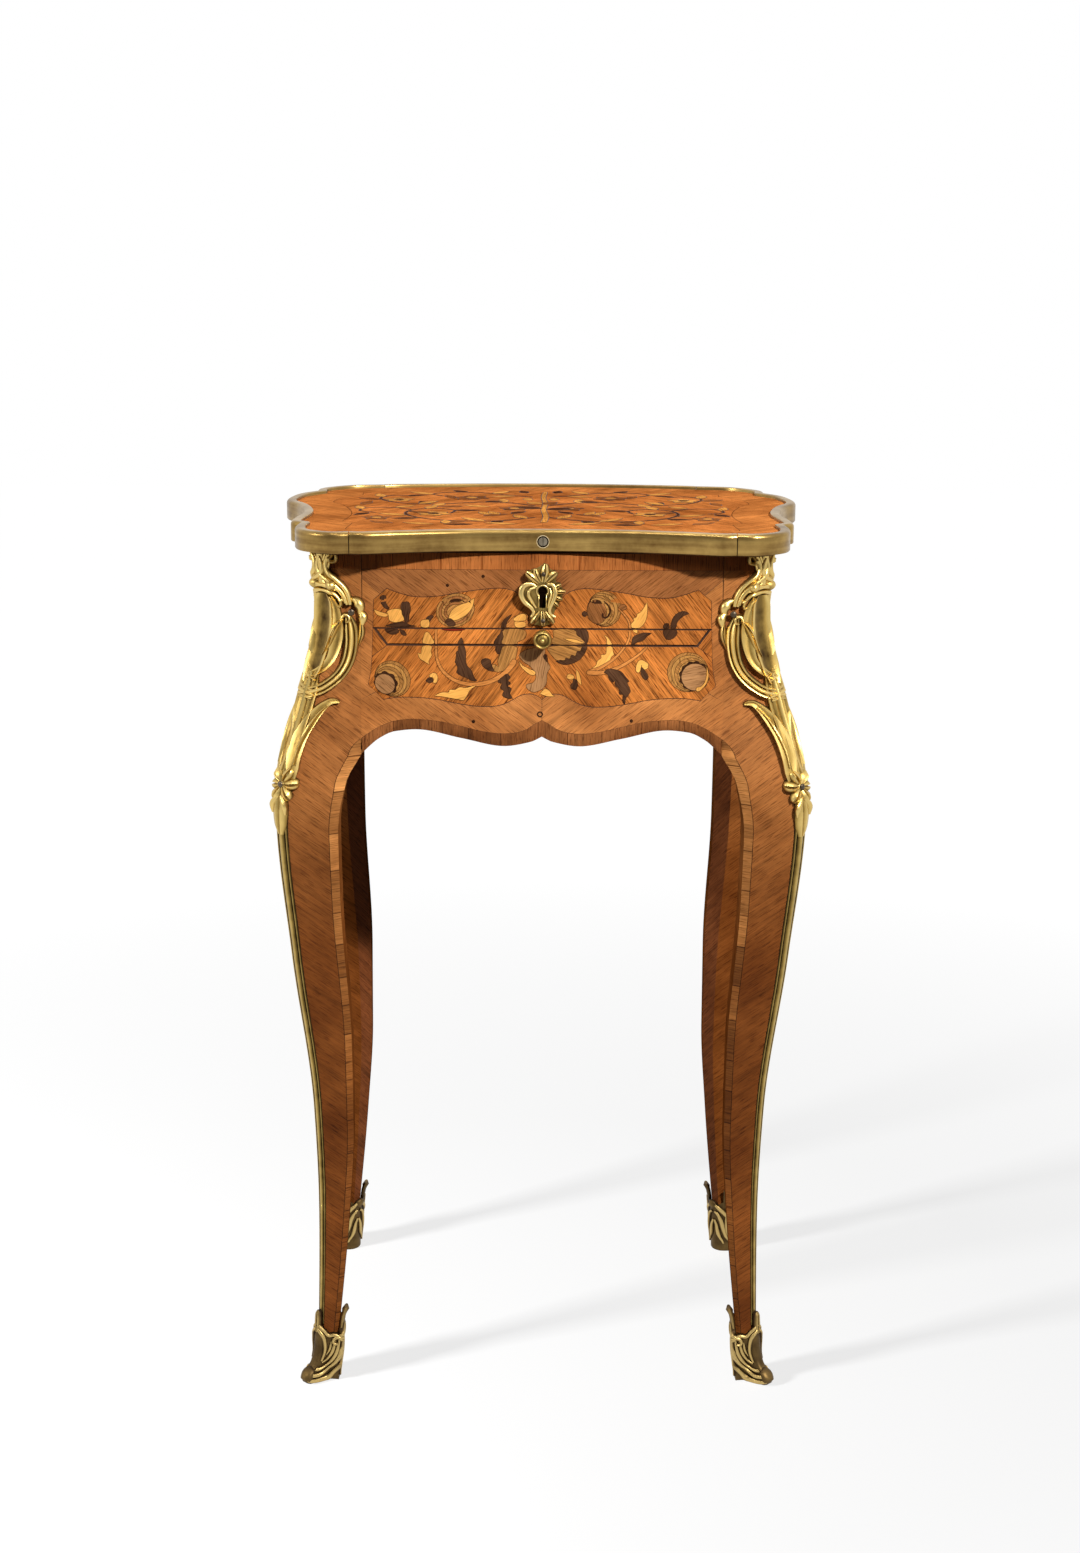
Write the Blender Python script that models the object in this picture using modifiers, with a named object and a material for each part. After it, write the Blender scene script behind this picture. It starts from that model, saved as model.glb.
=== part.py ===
"""A small salon table: lidded top with a brass edge, a writing slide, cabriole legs and gilt mounts.

Metres, +Z up. The front faces -Y, and the floor is at Z = 0 under the middle of the table.
"""
import math

import bmesh
import bpy
from mathutils import Matrix, Vector

# Overall height and the lid
HEIGHT = 0.700
GAP = 0.0003                # fitting gap between pieces that touch
RIM_HEIGHT = 0.0177
RIM_WIDTH = 0.008
RIM_ROUND = 0.003           # rounding of the brass edge's upper outer corner
RIM_LIP = 0.0027            # how far the brass edge stands above the veneered top
LID_BASE = HEIGHT - RIM_HEIGHT
CASE_TOP = LID_BASE - GAP

# Case: the legs and panels stand round the writing slide
SLIDE_HALF_TOP = 0.1265     # half length of the slide's front along its top
SLIDE_MITRE = 0.0095        # how much shorter it is at each end along its base
SLIDE_DEPTH = 0.222         # board behind the front
SLIDE_BACK_ROOM = 0.011     # free depth behind the board
STILE_MARGIN = 0.0105       # from the slide's front to the leg
CORNER_DEPTH = 0.0395       # from the panels' faces back to the side panels' ends
PANEL_THICK = 0.016
PANEL_FORE = PANEL_THICK + (SLIDE_DEPTH + SLIDE_BACK_ROOM) / 2    # front and back panels' outer faces
STILE_INNER = SLIDE_HALF_TOP + STILE_MARGIN    # legs' inner faces against the front and back panels
SIDE_SEAM = PANEL_FORE - CORNER_DEPTH          # legs' faces against the side panels
SIDE_SWELL = 0.004          # bow of the side panels in plan

# Plan of the brass edge, right half, one run between each pair of kinks, as shares of
# the panels' half length and of their distance from the middle
FRONT_RUN = [(0.0, -1.0340), (0.4380, -1.0581), (0.7664, -1.1283), (0.9635, -1.1849), (1.0547, -1.1789)]
FRONT_LOBE = [(1.0547, -1.1789), (1.1533, -1.1925), (1.2628, -1.1434), (1.3431, -1.0453),
              (1.3708, -0.8981), (1.3613, -0.7434)]
SIDE_RUN = [(1.3613, -0.7434), (1.4124, -0.6792), (1.4088, -0.5208), (1.3810, -0.2264),
            (1.4343, 0.0604), (1.5124, 0.2415), (1.5270, 0.4000), (1.4818, 0.6264), (1.3796, 0.7849)]
BACK_LOBE = [(1.3796, 0.7849), (1.3796, 0.8868), (1.3139, 0.9962), (1.1825, 1.0943), (0.9927, 1.1321)]
BACK_RUN = [(0.9927, 1.1321), (0.8905, 1.1623), (0.6569, 1.1925), (0.3285, 1.2242), (0.0, 1.2347)]
RUN_STEPS = 3               # straight steps between two plan points
SIDE_SCREW_POINT = 3        # the side run's plan point that takes the rim screw

# Legs, with drops measured down from the top of the case
APRON_DROP = 0.152
FLUSH_DROP = 0.037          # below this the legs run flush with the panels
WAIST_DROP = 0.048
FLARE_DROP = 0.109
KNEE_DROP = 0.192
PENDANT_DROP = 0.214        # foot of the corner mount
SEAM_FOOT = CASE_TOP - APRON_DROP
FLUSH_Z = CASE_TOP - FLUSH_DROP
WAIST_Z = CASE_TOP - WAIST_DROP
FLARE_Z = CASE_TOP - FLARE_DROP
KNEE_Z = CASE_TOP - KNEE_DROP
PENDANT_FOOT = CASE_TOP - PENDANT_DROP
ANKLE_Z = 0.150
SABOT_TOP = 0.052
LEG_BASE = 0.015


def shin(share):
    """Height at a share of the way from knee to ankle."""
    return KNEE_Z + (ANKLE_Z - KNEE_Z) * share


# Outer arris of a leg, as (height, distance past the leg's inner face or past the panel's face)
ARRIS_OUT = [(CASE_TOP, 0.0340), (WAIST_Z, 0.0315), (FLARE_Z, 0.0455), (KNEE_Z, 0.0650),
             (shin(0.36), 0.0560), (shin(0.75), 0.0422), (ANKLE_Z, 0.0398), (LEG_BASE, 0.0420)]
ARRIS_FORE = [(CASE_TOP, -0.0045), (FLUSH_Z, 0.0), (FLARE_Z, 0.0105), (KNEE_Z, 0.0281),
              (shin(0.36), 0.0155), (shin(0.75), -0.0005), (ANKLE_Z, -0.0040), (LEG_BASE, -0.0010)]

# Inner corner of a leg below the apron, as (height, distance past the leg's inner face or side seam)
INNER_OUT = [(SEAM_FOOT, 0.0), (SEAM_FOOT - 0.022, 0.0120), (SEAM_FOOT - 0.060, 0.0183),
             (shin(0.235), 0.0176), (shin(0.59), 0.0114), (shin(0.80), 0.0113),
             (ANKLE_Z - 0.010, 0.0160), (LEG_BASE, 0.0280)]
INNER_FORE = [(SEAM_FOOT, 0.0), (SEAM_FOOT - 0.022, 0.0110), (SEAM_FOOT - 0.060, 0.0190),
              (shin(0.235), 0.0170), (shin(0.59), 0.0115), (shin(0.80), 0.0100),
              (ANKLE_Z - 0.010, 0.0125), (LEG_BASE, 0.0250)]
ARRIS_CHAMFER = [(CASE_TOP, 0.0100), (KNEE_Z, 0.0085), (SABOT_TOP, 0.0042), (LEG_BASE, 0.0038)]
INNER_CHAMFER = 0.30        # inner corner's cut, as a share of the leg's width there
LEG_STATIONS = [0.0, 0.08, 0.27, 0.36, 0.45, 0.52, 0.59, 0.65, 0.76, 0.81, 0.87, 0.94]    # to the pendant
SHIN_STEPS = 8

# Lower edge of the front apron, as (share of half its length, rise above the seam foot)
APRON_EDGE = [(0.0, 0.0130), (0.06, 0.0092), (0.21, 0.0060), (0.44, 0.0115), (0.70, 0.0180),
              (0.82, 0.0165), (0.91, 0.0110), (1.0, 0.0005)]
APRON_STATIONS = 13
APRON_LEVELS = 6

# Writing slide
SLIDE_DROP = 0.0575
SLIDE_HEIGHT = 0.0120
SLIDE_BOARD_SHY = 0.0040    # board's edge inside the front's ends
SLIDE_BOARD_THICK = 0.0095
SLIDE_TOP = CASE_TOP - SLIDE_DROP
SLIDE_HALF_BASE = SLIDE_HALF_TOP - SLIDE_MITRE
SLIDE_BOARD_HALF = SLIDE_HALF_BASE - SLIDE_BOARD_SHY
LEATHER_MARGIN = 0.014
LEATHER_THICK = 0.0008
KNOB_RADIUS = 0.0074
KNOB_NECK = 0.0026
KNOB_COLLAR = 0.0044
KNOB_THROAT = 0.0015        # neck's length up to the ball
KNOB_SHANK = 0.0016
KNOB_SHANK_LENGTH = 0.008
RUNNER_WIDTH = 0.020
RUNNER_HEIGHT = 0.0115
BOARD_THICK = 0.006         # well floor and bottom board

# Hinges
HINGE_INSET = 0.052         # middle of a hinge from the panel's end
HINGE_X = STILE_INNER - HINGE_INSET
HINGE_LENGTH = 0.040
HINGE_LEAF = 0.0012
HINGE_LEAF_DEPTH = 0.014
HINGE_BARREL = 0.0026
HINGE_PIN = 0.0010
HINGE_SETBACK = 0.0060      # barrel's axis behind the back panel's face, so the lid clears the mounts
HINGE_Y = PANEL_FORE + HINGE_SETBACK
HINGE_Z = LID_BASE - GAP / 2

# Lock
LOCK_HALF = 0.022
LOCK_DEPTH = 0.010
LOCK_DROP = 0.047           # height of the lock's case
BOLT_SIZE = 0.0034
BOLT_LENGTH = 0.0145
BOLT_DROP = 0.0075          # bolt's axis below the top of the case
BOLT_CLEAR = 0.0003
STAPLE_THICK = 0.003
STAPLE_WIDTH = 0.0070
STAPLE_LENGTH = 0.0120
STAPLE_PLATE = 0.0015
STAPLE_PLATE_HALF = 0.011
STAPLE_SLOT = 0.0005        # clearance round the staple in the case

# Keyhole and its plate
KEYHOLE_DROP = 0.0250
KEYHOLE_TOP = CASE_TOP - KEYHOLE_DROP
KEYHOLE_RADIUS = 0.0033
KEYHOLE_SLOT = 0.0047
KEYHOLE_LENGTH = 0.0130
PLATE_THICK = 0.0024
PLATE_EDGE = 0.0010         # bevel of the plate's outline
PLATE_DROP = 0.0330
PLATE_Z = CASE_TOP - PLATE_DROP
PLATE_OUTLINE = [(-0.0010, 0.0245), (0.0060, 0.0222), (0.0078, 0.0168), (0.0128, 0.0150), (0.0172, 0.0088),
                 (0.0140, 0.0030), (0.0158, -0.0042), (0.0110, -0.0105), (0.0085, -0.0172), (0.0020, -0.0238),
                 (-0.0052, -0.0212), (-0.0078, -0.0150), (-0.0136, -0.0098), (-0.0150, -0.0020),
                 (-0.0122, 0.0048), (-0.0150, 0.0110), (-0.0098, 0.0152), (-0.0066, 0.0216)]
PLATE_STEPS = 2
PLATE_PINS = {"upper": (0.0005, 0.0180), "lower": (0.0005, -0.0175)}

# Fasteners
SCREW_HEAD = 0.0040
SCREW_LAND = 0.0004         # straight edge of the head above its countersink
SCREW_SHANK = 0.0018
SCREW_LENGTH = 0.017
SCREW_SLOT = 0.0010
NAIL_HEAD = 0.0024
NAIL_SHANK = 0.0011
NAIL_LENGTH = 0.010
PIN_HEAD = 0.0013
PIN_SHANK = 0.0006
PIN_LENGTH = 0.0060
ROUND_STEPS = 12

# Gilt corner mounts: reach over each face from the arris, and thickness, against drop below the case top
MOUNT_REACH = [(0.0, 0.0160), (0.020, 0.0195), (0.037, 0.0270), (0.057, 0.0300), (0.082, 0.0230),
               (0.105, 0.0165), (0.115, 0.0290), (0.127, 0.0270), (0.150, 0.0195), (0.172, 0.0150),
               (0.187, 0.0120), (0.214, 0.0100)]
MOUNT_THICK = [(0.0, 0.0066), (0.030, 0.0055), (0.060, 0.0034), (0.214, 0.0030)]
MOUNT_NAIL_DROP = 0.045
MOUNT_NAIL_INSET = 0.0075   # nail past the leg's inner face
ROSETTE_DROP = 0.174

# Brass fillet down each leg
FILLET_EDGE = 0.0010
FILLET_CROWN = 0.0026
FILLET_SHY = 0.10           # fillet's margin on the chamfer, as a share of its width

# Foot mounts: reach of the toe past the leg's arris, as (height, reach)
TOE_REACH = [(0.0, 0.0135), (0.005, 0.0143), (0.010, 0.0125), (0.014, 0.0095), (0.018, 0.0075),
             (0.026, 0.0057), (0.036, 0.0050), (SABOT_TOP - GAP, 0.0040)]
SABOT_WALL = 0.0026
TOE_CHAMFER = 0.0045

# Colours, roughness and metallic value of each finish
FINISHES = {
    "kingwood": ((0.30, 0.105, 0.040, 1.0), 0.32, 0.0),
    "tulipwood": ((0.50, 0.20, 0.075, 1.0), 0.30, 0.0),
    "oak": ((0.42, 0.27, 0.14, 1.0), 0.60, 0.0),
    "brass": ((0.56, 0.42, 0.17, 1.0), 0.28, 1.0),
    "gilt_bronze": ((0.72, 0.50, 0.16, 1.0), 0.25, 1.0),
    "dark_bronze": ((0.42, 0.28, 0.10, 1.0), 0.38, 1.0),
    "steel": ((0.34, 0.33, 0.31, 1.0), 0.40, 1.0),
    "leather": ((0.22, 0.05, 0.035, 1.0), 0.55, 0.0),
}


def clear_scene():
    for obj in list(bpy.data.objects):
        bpy.data.objects.remove(obj, do_unlink=True)


def new_collection(name):
    collection = bpy.data.collections.new(name)
    bpy.context.scene.collection.children.link(collection)
    return collection


clear_scene()
PIECES = new_collection("salon_table")
CUTTERS = new_collection("cutters")


def make_finish(name):
    colour, roughness, metallic = FINISHES[name]
    material = bpy.data.materials.new(name)
    material.use_nodes = True
    shader = material.node_tree.nodes["Principled BSDF"]
    shader.inputs["Base Color"].default_value = colour
    shader.inputs["Roughness"].default_value = roughness
    shader.inputs["Metallic"].default_value = metallic
    return material


MATERIALS = {name: make_finish(name) for name in FINISHES}


def make_empty(name, location):
    empty = bpy.data.objects.new(name, None)
    empty.location = location
    PIECES.objects.link(empty)
    return empty


CARCASS = make_empty("carcass_frame", (0, 0, 0))
LID = make_empty("lid_axis", (0, HINGE_Y, HINGE_Z))
SLIDE = make_empty("slide_axis", (0, -PANEL_FORE, SLIDE_TOP - SLIDE_HEIGHT / 2))
BOLT = make_empty("bolt_axis", (0, -PANEL_FORE + PANEL_THICK, CASE_TOP - BOLT_DROP))


def add_piece(name, mesh, finish, parent, smooth=True):
    """Link a mesh, modelled in world coordinates, as a named piece under its frame."""
    obj = bpy.data.objects.new(name, mesh)
    mesh.materials.append(MATERIALS[finish])
    PIECES.objects.link(obj)
    obj.parent = parent
    obj.matrix_parent_inverse = Matrix.Translation(-parent.location)
    if smooth:
        mesh.shade_smooth()
        mesh.set_sharp_from_angle(angle=math.radians(35))
    return obj


def add_cutter(name, mesh):
    obj = bpy.data.objects.new(name, mesh)
    CUTTERS.objects.link(obj)
    obj.hide_render = True
    obj.display_type = "WIRE"
    return obj


def boolean(target, tool, operation="DIFFERENCE"):
    modifier = target.modifiers.new(tool.name, "BOOLEAN")
    modifier.operation = operation
    modifier.object = tool
    modifier.solver = "EXACT"


def loft_mesh(name, rings):
    """Skin a row of rings that all have as many points, with a cap at each end."""
    bm = bmesh.new()
    rows = [[bm.verts.new(point) for point in ring] for ring in rings]
    for lower, upper in zip(rows, rows[1:]):
        for i in range(len(lower)):
            j = (i + 1) % len(lower)
            bm.faces.new((lower[i], lower[j], upper[j], upper[i]))
    bm.faces.new(rows[0])
    bm.faces.new(rows[-1])
    bmesh.ops.recalc_face_normals(bm, faces=bm.faces)
    mesh = bpy.data.meshes.new(name)
    bm.to_mesh(mesh)
    bm.free()
    return mesh


def loft(name, rings, finish, parent):
    return add_piece(name, loft_mesh(name, rings), finish, parent)


def slab(name, outline, low, high, finish, parent):
    rings = [[(x, y, z) for x, y in outline] for z in (low, high)]
    return loft(name, rings, finish, parent)


def box_mesh(name, low, high):
    bm = bmesh.new()
    bmesh.ops.create_cube(bm, size=1.0)
    size = Vector(high) - Vector(low)
    middle = (Vector(high) + Vector(low)) / 2
    bmesh.ops.scale(bm, vec=size, verts=bm.verts)
    bmesh.ops.translate(bm, vec=middle, verts=bm.verts)
    mesh = bpy.data.meshes.new(name)
    bm.to_mesh(mesh)
    bm.free()
    return mesh


def box(name, low, high, finish, parent):
    return add_piece(name, box_mesh(name, low, high), finish, parent, smooth=False)


def box_cutter(name, low, high):
    return add_cutter(name, box_mesh(name, low, high))


def rod_mesh(name, start, end, radius):
    """A plain cylinder between two points."""
    start, end = Vector(start), Vector(end)
    bm = bmesh.new()
    bmesh.ops.create_cone(bm, cap_ends=True, segments=ROUND_STEPS, radius1=radius, radius2=radius,
                          depth=(end - start).length)
    turn = (end - start).to_track_quat("Z", "Y").to_matrix().to_4x4()
    bmesh.ops.transform(bm, matrix=Matrix.Translation((start + end) / 2) @ turn, verts=bm.verts)
    mesh = bpy.data.meshes.new(name)
    bm.to_mesh(mesh)
    bm.free()
    return mesh


def add_turning(obj, place, outward):
    """Turn an object's profile about its own axis, which points outward from its place."""
    screw = obj.modifiers.new("turning", "SCREW")
    screw.steps = ROUND_STEPS
    screw.render_steps = ROUND_STEPS
    screw.use_merge_vertices = True
    screw.merge_threshold = 1e-6
    obj.location = place
    obj.rotation_mode = "QUATERNION"
    obj.rotation_quaternion = Vector(outward).to_track_quat("Z", "Y")


def profile_mesh(name, profile):
    """Edges through (radius, height) points, from the top of the axis down to its foot."""
    mesh = bpy.data.meshes.new(name)
    points = [(radius, 0, height) for radius, height in profile]
    mesh.from_pydata(points, [(i, i + 1) for i in range(len(points) - 1)], [])
    return mesh


def turned(name, profile, place, outward, finish, parent):
    obj = add_piece(name, profile_mesh(name, profile), finish, parent, smooth=False)
    add_turning(obj, place, outward)
    obj.modifiers["turning"].use_smooth_shade = True
    return obj


def turned_cutter(name, profile, place, outward):
    obj = add_cutter(name, profile_mesh(name, profile))
    add_turning(obj, place, outward)
    return obj


def eased(keys, base=0.0):
    """A smooth value against level through the keys, past a base, which never overshoots them."""
    keys = sorted((level, base + value) for level, value in keys)
    rises = [(b[1] - a[1]) / (b[0] - a[0]) for a, b in zip(keys, keys[1:])]
    slopes = [rises[0]]
    for before, after in zip(rises, rises[1:]):
        slopes.append(2 * before * after / (before + after) if before * after > 0 else 0.0)
    slopes.append(rises[-1])

    def value(level):
        if level <= keys[0][0]:
            return keys[0][1]
        for i in range(len(keys) - 1):
            if level <= keys[i + 1][0]:
                break
        else:
            return keys[-1][1]
        span = keys[i + 1][0] - keys[i][0]
        t = (level - keys[i][0]) / span
        return ((1 + 2 * t) * (1 - t) ** 2 * keys[i][1] + t * (1 - t) ** 2 * span * slopes[i]
                + t * t * (3 - 2 * t) * keys[i + 1][1] - t * t * (1 - t) * span * slopes[i + 1])

    return value


def plan_curve(shares):
    return through([(x * STILE_INNER, y * PANEL_FORE) for x, y in shares], RUN_STEPS)


def through(points, steps, closed=False):
    """Points on a smooth curve through the given plan points."""
    points = [Vector(p) for p in points]
    count = len(points)
    if closed:
        padded = [points[-1]] + points + points[:2]
        spans = count
    else:
        padded = [2 * points[0] - points[1]] + points + [2 * points[-1] - points[-2]]
        spans = count - 1
    curve = []
    for i in range(spans):
        a, b, c, d = padded[i:i + 4]
        for k in range(steps):
            t = k / steps
            curve.append(0.5 * (2 * b + (c - a) * t + (2 * a - 5 * b + 4 * c - d) * t ** 2
                                + (3 * b - a - 3 * c + d) * t ** 3))
    if not closed:
        curve.append(points[-1])
    return curve


def mirrored(curve):
    return [Vector((-p.x, p.y)) for p in reversed(curve)]


def inset(outline, distance):
    """A closed outline, walked with its inside on the left, moved inwards."""
    moved = []
    for i, point in enumerate(outline):
        before = (point - outline[i - 1]).normalized()
        after = (outline[(i + 1) % len(outline)] - point).normalized()
        across = Vector((-before.y - after.y, before.x + after.x)).normalized()
        moved.append(point + across * distance / across.dot(Vector((-after.y, after.x))))
    return moved


def lerp(a, b, t):
    return a + (b - a) * t


# The plan of the brass edge as four runs, and as one closed outline
right_front = plan_curve(FRONT_RUN)
right_back = plan_curve(BACK_RUN)
right_side = plan_curve(FRONT_LOBE)[:-1] + plan_curve(SIDE_RUN)[:-1] + plan_curve(BACK_LOBE)
RUNS = {
    "front": mirrored(right_front)[:-1] + right_front,
    "right": right_side,
    "back": right_back[:-1] + mirrored(right_back),
    "left": mirrored(right_side),
}
OUTLINE = [point for run in RUNS.values() for point in run[:-1]]

# Leg curves
arris_out = eased(ARRIS_OUT, STILE_INNER)
arris_fore = eased(ARRIS_FORE, PANEL_FORE)
inner_out = eased(INNER_OUT, STILE_INNER)
inner_fore = eased(INNER_FORE, SIDE_SEAM)
arris_chamfer = eased(ARRIS_CHAMFER)
mount_reach = eased(MOUNT_REACH)
mount_thick = eased(MOUNT_THICK)
toe_reach = eased(TOE_REACH)
apron_edge = eased(APRON_EDGE)
CORNERS = [(end, side) for end in ("front", "back") for side in ("left", "right")]
upper_levels = {lerp(CASE_TOP, PENDANT_FOOT, share) for share in LEG_STATIONS} | {FLUSH_Z, SEAM_FOOT}
LEG_LEVELS = sorted(upper_levels, reverse=True) + [PENDANT_FOOT]
LEG_LEVELS += [lerp(PENDANT_FOOT, ANKLE_Z, k / SHIN_STEPS) for k in range(1, SHIN_STEPS + 1)]
LEG_LEVELS += [lerp(ANKLE_Z, SABOT_TOP, 0.5), SABOT_TOP, lerp(SABOT_TOP, LEG_BASE, 0.5), LEG_BASE]


def panel_fore(z):
    """Outer face of the front and back panels: plumb above, flush with the legs below."""
    return PANEL_FORE if z > FLUSH_Z else arris_fore(z)


def corner_frame(end, side):
    """Turns (out, fore) distances at a leg into plan coordinates."""
    sign_x = -1 if side == "left" else 1
    sign_y = -1 if end == "front" else 1
    return lambda out, fore, z: (sign_x * out, sign_y * fore, z)


def leg_section(z, grow=0.0):
    """A leg's section as (out, fore) points, from the inner front edge round to the inner side."""
    out, fore = arris_out(z), arris_fore(z)
    near_out, near_fore, chamfer = inner_out(z), inner_fore(z), arris_chamfer(z)
    cut_out = INNER_CHAMFER * (out - near_out)
    cut_fore = INNER_CHAMFER * (fore - near_fore)
    return [(near_out - grow, fore + grow), (out - chamfer, fore + grow), (out + grow, fore - chamfer),
            (out + grow, near_fore - grow), (near_out + cut_out, near_fore - grow),
            (near_out - grow, near_fore + cut_fore)]


def make_top():
    """Veneered panel inside four lengths of brass edging, each held by a screw."""
    panel = slab("top_panel", inset(OUTLINE, RIM_WIDTH + GAP), LID_BASE, HEIGHT - RIM_LIP, "tulipwood", LID)
    easing = RIM_ROUND * 0.3
    profile = [(0.0, LID_BASE), (0.0, HEIGHT - RIM_ROUND), (easing, HEIGHT - easing), (RIM_ROUND, HEIGHT),
               (RIM_WIDTH - easing, HEIGHT), (RIM_WIDTH, HEIGHT - easing), (RIM_WIDTH, LID_BASE)]
    loops = [inset(OUTLINE, depth) for depth, _ in profile]
    start = 0
    for name, run in RUNS.items():
        stations = [(start + i) % len(OUTLINE) for i in range(len(run))]
        rings = [[Vector((*loop[i], level)) for loop, (_, level) in zip(loops, profile)] for i in stations]
        for end, nxt in ((0, 1), (-1, -2)):
            reach = GAP / 2 / (rings[nxt][0] - rings[end][0]).length
            rings[end] = [a.lerp(b, reach) for a, b in zip(rings[end], rings[nxt])]
        rim = loft("rim_" + name, rings, "brass", LID)
        start += len(run) - 1
        add_rim_screw(name, rim, panel)


def screw_profile(grow=0.0):
    head_depth = SCREW_HEAD - SCREW_SHANK
    return [(0, grow), (SCREW_HEAD + grow, grow), (SCREW_HEAD + grow, -SCREW_LAND),
            (SCREW_SHANK + grow, -SCREW_LAND - head_depth), (SCREW_SHANK + grow, -SCREW_LENGTH - grow),
            (0, -SCREW_LENGTH - grow)]


def add_rim_screw(name, rim, panel):
    run = RUNS[name]
    if name in ("front", "back"):
        index = len(run) // 2
    else:
        index = (len(FRONT_LOBE) - 1 + SIDE_SCREW_POINT) * RUN_STEPS
        index = index if name == "right" else len(run) - 1 - index
    along = (run[index + 1] - run[index - 1]).normalized()
    outward = Vector((along.y, -along.x, 0))
    place = Vector((*run[index], (HEIGHT + LID_BASE) / 2)) - outward * GAP
    screw = turned("rim_screw_" + name, screw_profile(), place, outward, "steel", LID)
    hole = turned_cutter("rim_screw_hole_" + name, screw_profile(GAP), place, outward)
    hole.data.vertices[0].co.z = hole.data.vertices[1].co.z = SCREW_HEAD
    boolean(rim, hole)
    boolean(panel, hole)
    half = Vector((SCREW_SLOT / 2, 2 * SCREW_HEAD, SCREW_SLOT))
    slot = box_cutter("rim_screw_slot_" + name, -half, half)
    slot.location = place
    slot.rotation_mode = "QUATERNION"
    slot.rotation_quaternion = outward.to_track_quat("Z", "Y")
    boolean(screw, slot)


def make_legs():
    """A cabriole leg at each corner, with its gilt corner mount, brass fillet and foot mount."""
    for end, side in CORNERS:
        tag = end + "_" + side
        at = corner_frame(end, side)
        leg = loft("leg_" + tag, [[at(*p, z) for p in leg_section(z)] for z in LEG_LEVELS], "kingwood", CARCASS)
        mount = add_corner_mount(tag, at)
        add_mount_nails(tag, at, leg, mount)
        add_fillet(tag, at)
        add_sabot(tag, at)


def add_corner_mount(tag, at):
    rings = []
    for z in LEG_LEVELS:
        if z < PENDANT_FOOT:
            break
        out, fore, chamfer = arris_out(z), arris_fore(z), arris_chamfer(z)
        reach = mount_reach(CASE_TOP - z)
        face = GAP + mount_thick(CASE_TOP - z)
        section = [(out - reach, fore + GAP), (out - chamfer, fore + GAP), (out + GAP, fore - chamfer),
                   (out + GAP, fore - reach), (out + face, fore - reach), (out + face, fore - chamfer),
                   (out - chamfer, fore + face), (out - reach, fore + face)]
        rings.append([at(*p, z) for p in section])
    return loft("corner_mount_" + tag, rings, "gilt_bronze", CARCASS)


def nail_profile(head, shank, length, grow=0.0):
    return [(0, head * 0.7 + grow), (head * 0.75 + grow, head * 0.5 + grow), (head + grow, -grow),
            (shank + grow, -grow), (shank + grow, -length - grow), (0, -length - grow)]


def add_mount_nails(tag, at, leg, mount):
    """One nail in the mount's upper leaf, square to the front, and one in the rosette on the arris."""
    proud = 2 * GAP + mount_thick(MOUNT_NAIL_DROP)
    upper = CASE_TOP - MOUNT_NAIL_DROP
    lower = CASE_TOP - ROSETTE_DROP
    half = arris_chamfer(lower) / 2
    lift = (GAP + mount_thick(ROSETTE_DROP)) / 2 + GAP
    seats = {
        "upper": ((STILE_INNER + MOUNT_NAIL_INSET, arris_fore(upper) + proud, upper), (0, 1)),
        "lower": ((arris_out(lower) - half + lift, arris_fore(lower) - half + lift, lower), (1, 1)),
    }
    for name, (seat, way) in seats.items():
        place = Vector(at(*seat))
        outward = Vector(at(seat[0] + way[0], seat[1] + way[1], seat[2])) - place
        label = "mount_nail_" + tag + "_" + name
        turned(label, nail_profile(NAIL_HEAD, NAIL_SHANK, NAIL_LENGTH), place, outward, "dark_bronze", CARCASS)
        hole = turned_cutter(label + "_hole", nail_profile(NAIL_SHANK, NAIL_SHANK, NAIL_LENGTH, GAP),
                             place, outward)
        boolean(leg, hole)
        boolean(mount, hole)


def add_fillet(tag, at):
    rings = []
    root_half = math.sqrt(0.5)
    for z in LEG_LEVELS:
        if z > PENDANT_FOOT or z < SABOT_TOP:
            continue
        out, fore, chamfer = arris_out(z), arris_fore(z), arris_chamfer(z)

        def point(share, lift):
            step = (GAP + lift) * root_half
            return at(out - chamfer * (1 - share) + step, fore - chamfer * share + step, z)

        rings.append([point(FILLET_SHY, 0), point(1 - FILLET_SHY, 0), point(1 - FILLET_SHY, FILLET_EDGE),
                      point(0.7, FILLET_CROWN), point(0.3, FILLET_CROWN), point(FILLET_SHY, FILLET_EDGE)])
    rings[0] = [(x, y, z - GAP) for x, y, z in rings[0]]
    rings[-1] = [(x, y, z + GAP) for x, y, z in rings[-1]]
    loft("leg_fillet_" + tag, rings, "brass", CARCASS)


def add_sabot(tag, at):
    """A cast shoe round the foot of the leg, with its toe drawn out at the corner."""
    rings = []
    for z, _ in TOE_REACH:
        level = max(z, LEG_BASE)
        out, fore, toe = arris_out(level), arris_fore(level), toe_reach(z)
        section = leg_section(level, SABOT_WALL)
        section[1] = (out + toe - TOE_CHAMFER, fore + toe)
        section[2] = (out + toe, fore + toe - TOE_CHAMFER)
        rings.append([at(*p, z) for p in section])
    for z in (SABOT_TOP - GAP, lerp(SABOT_TOP, LEG_BASE, 0.5), LEG_BASE - GAP):
        rings.append([at(*p, z) for p in leg_section(max(z, LEG_BASE), GAP)])
    loft("sabot_" + tag, rings, "dark_bronze", CARCASS)


def stations(half, extra=()):
    """Places along a panel from end to end, with any extra ones put in on both halves."""
    places = {round(lerp(-half, half, k / (2 * APRON_STATIONS)), 6) for k in range(2 * APRON_STATIONS + 1)}
    for place in extra:
        places.update((round(-place, 6), round(place, 6)))
    return sorted(places)


def apron_low(share):
    return SEAM_FOOT + apron_edge(abs(share))


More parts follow.
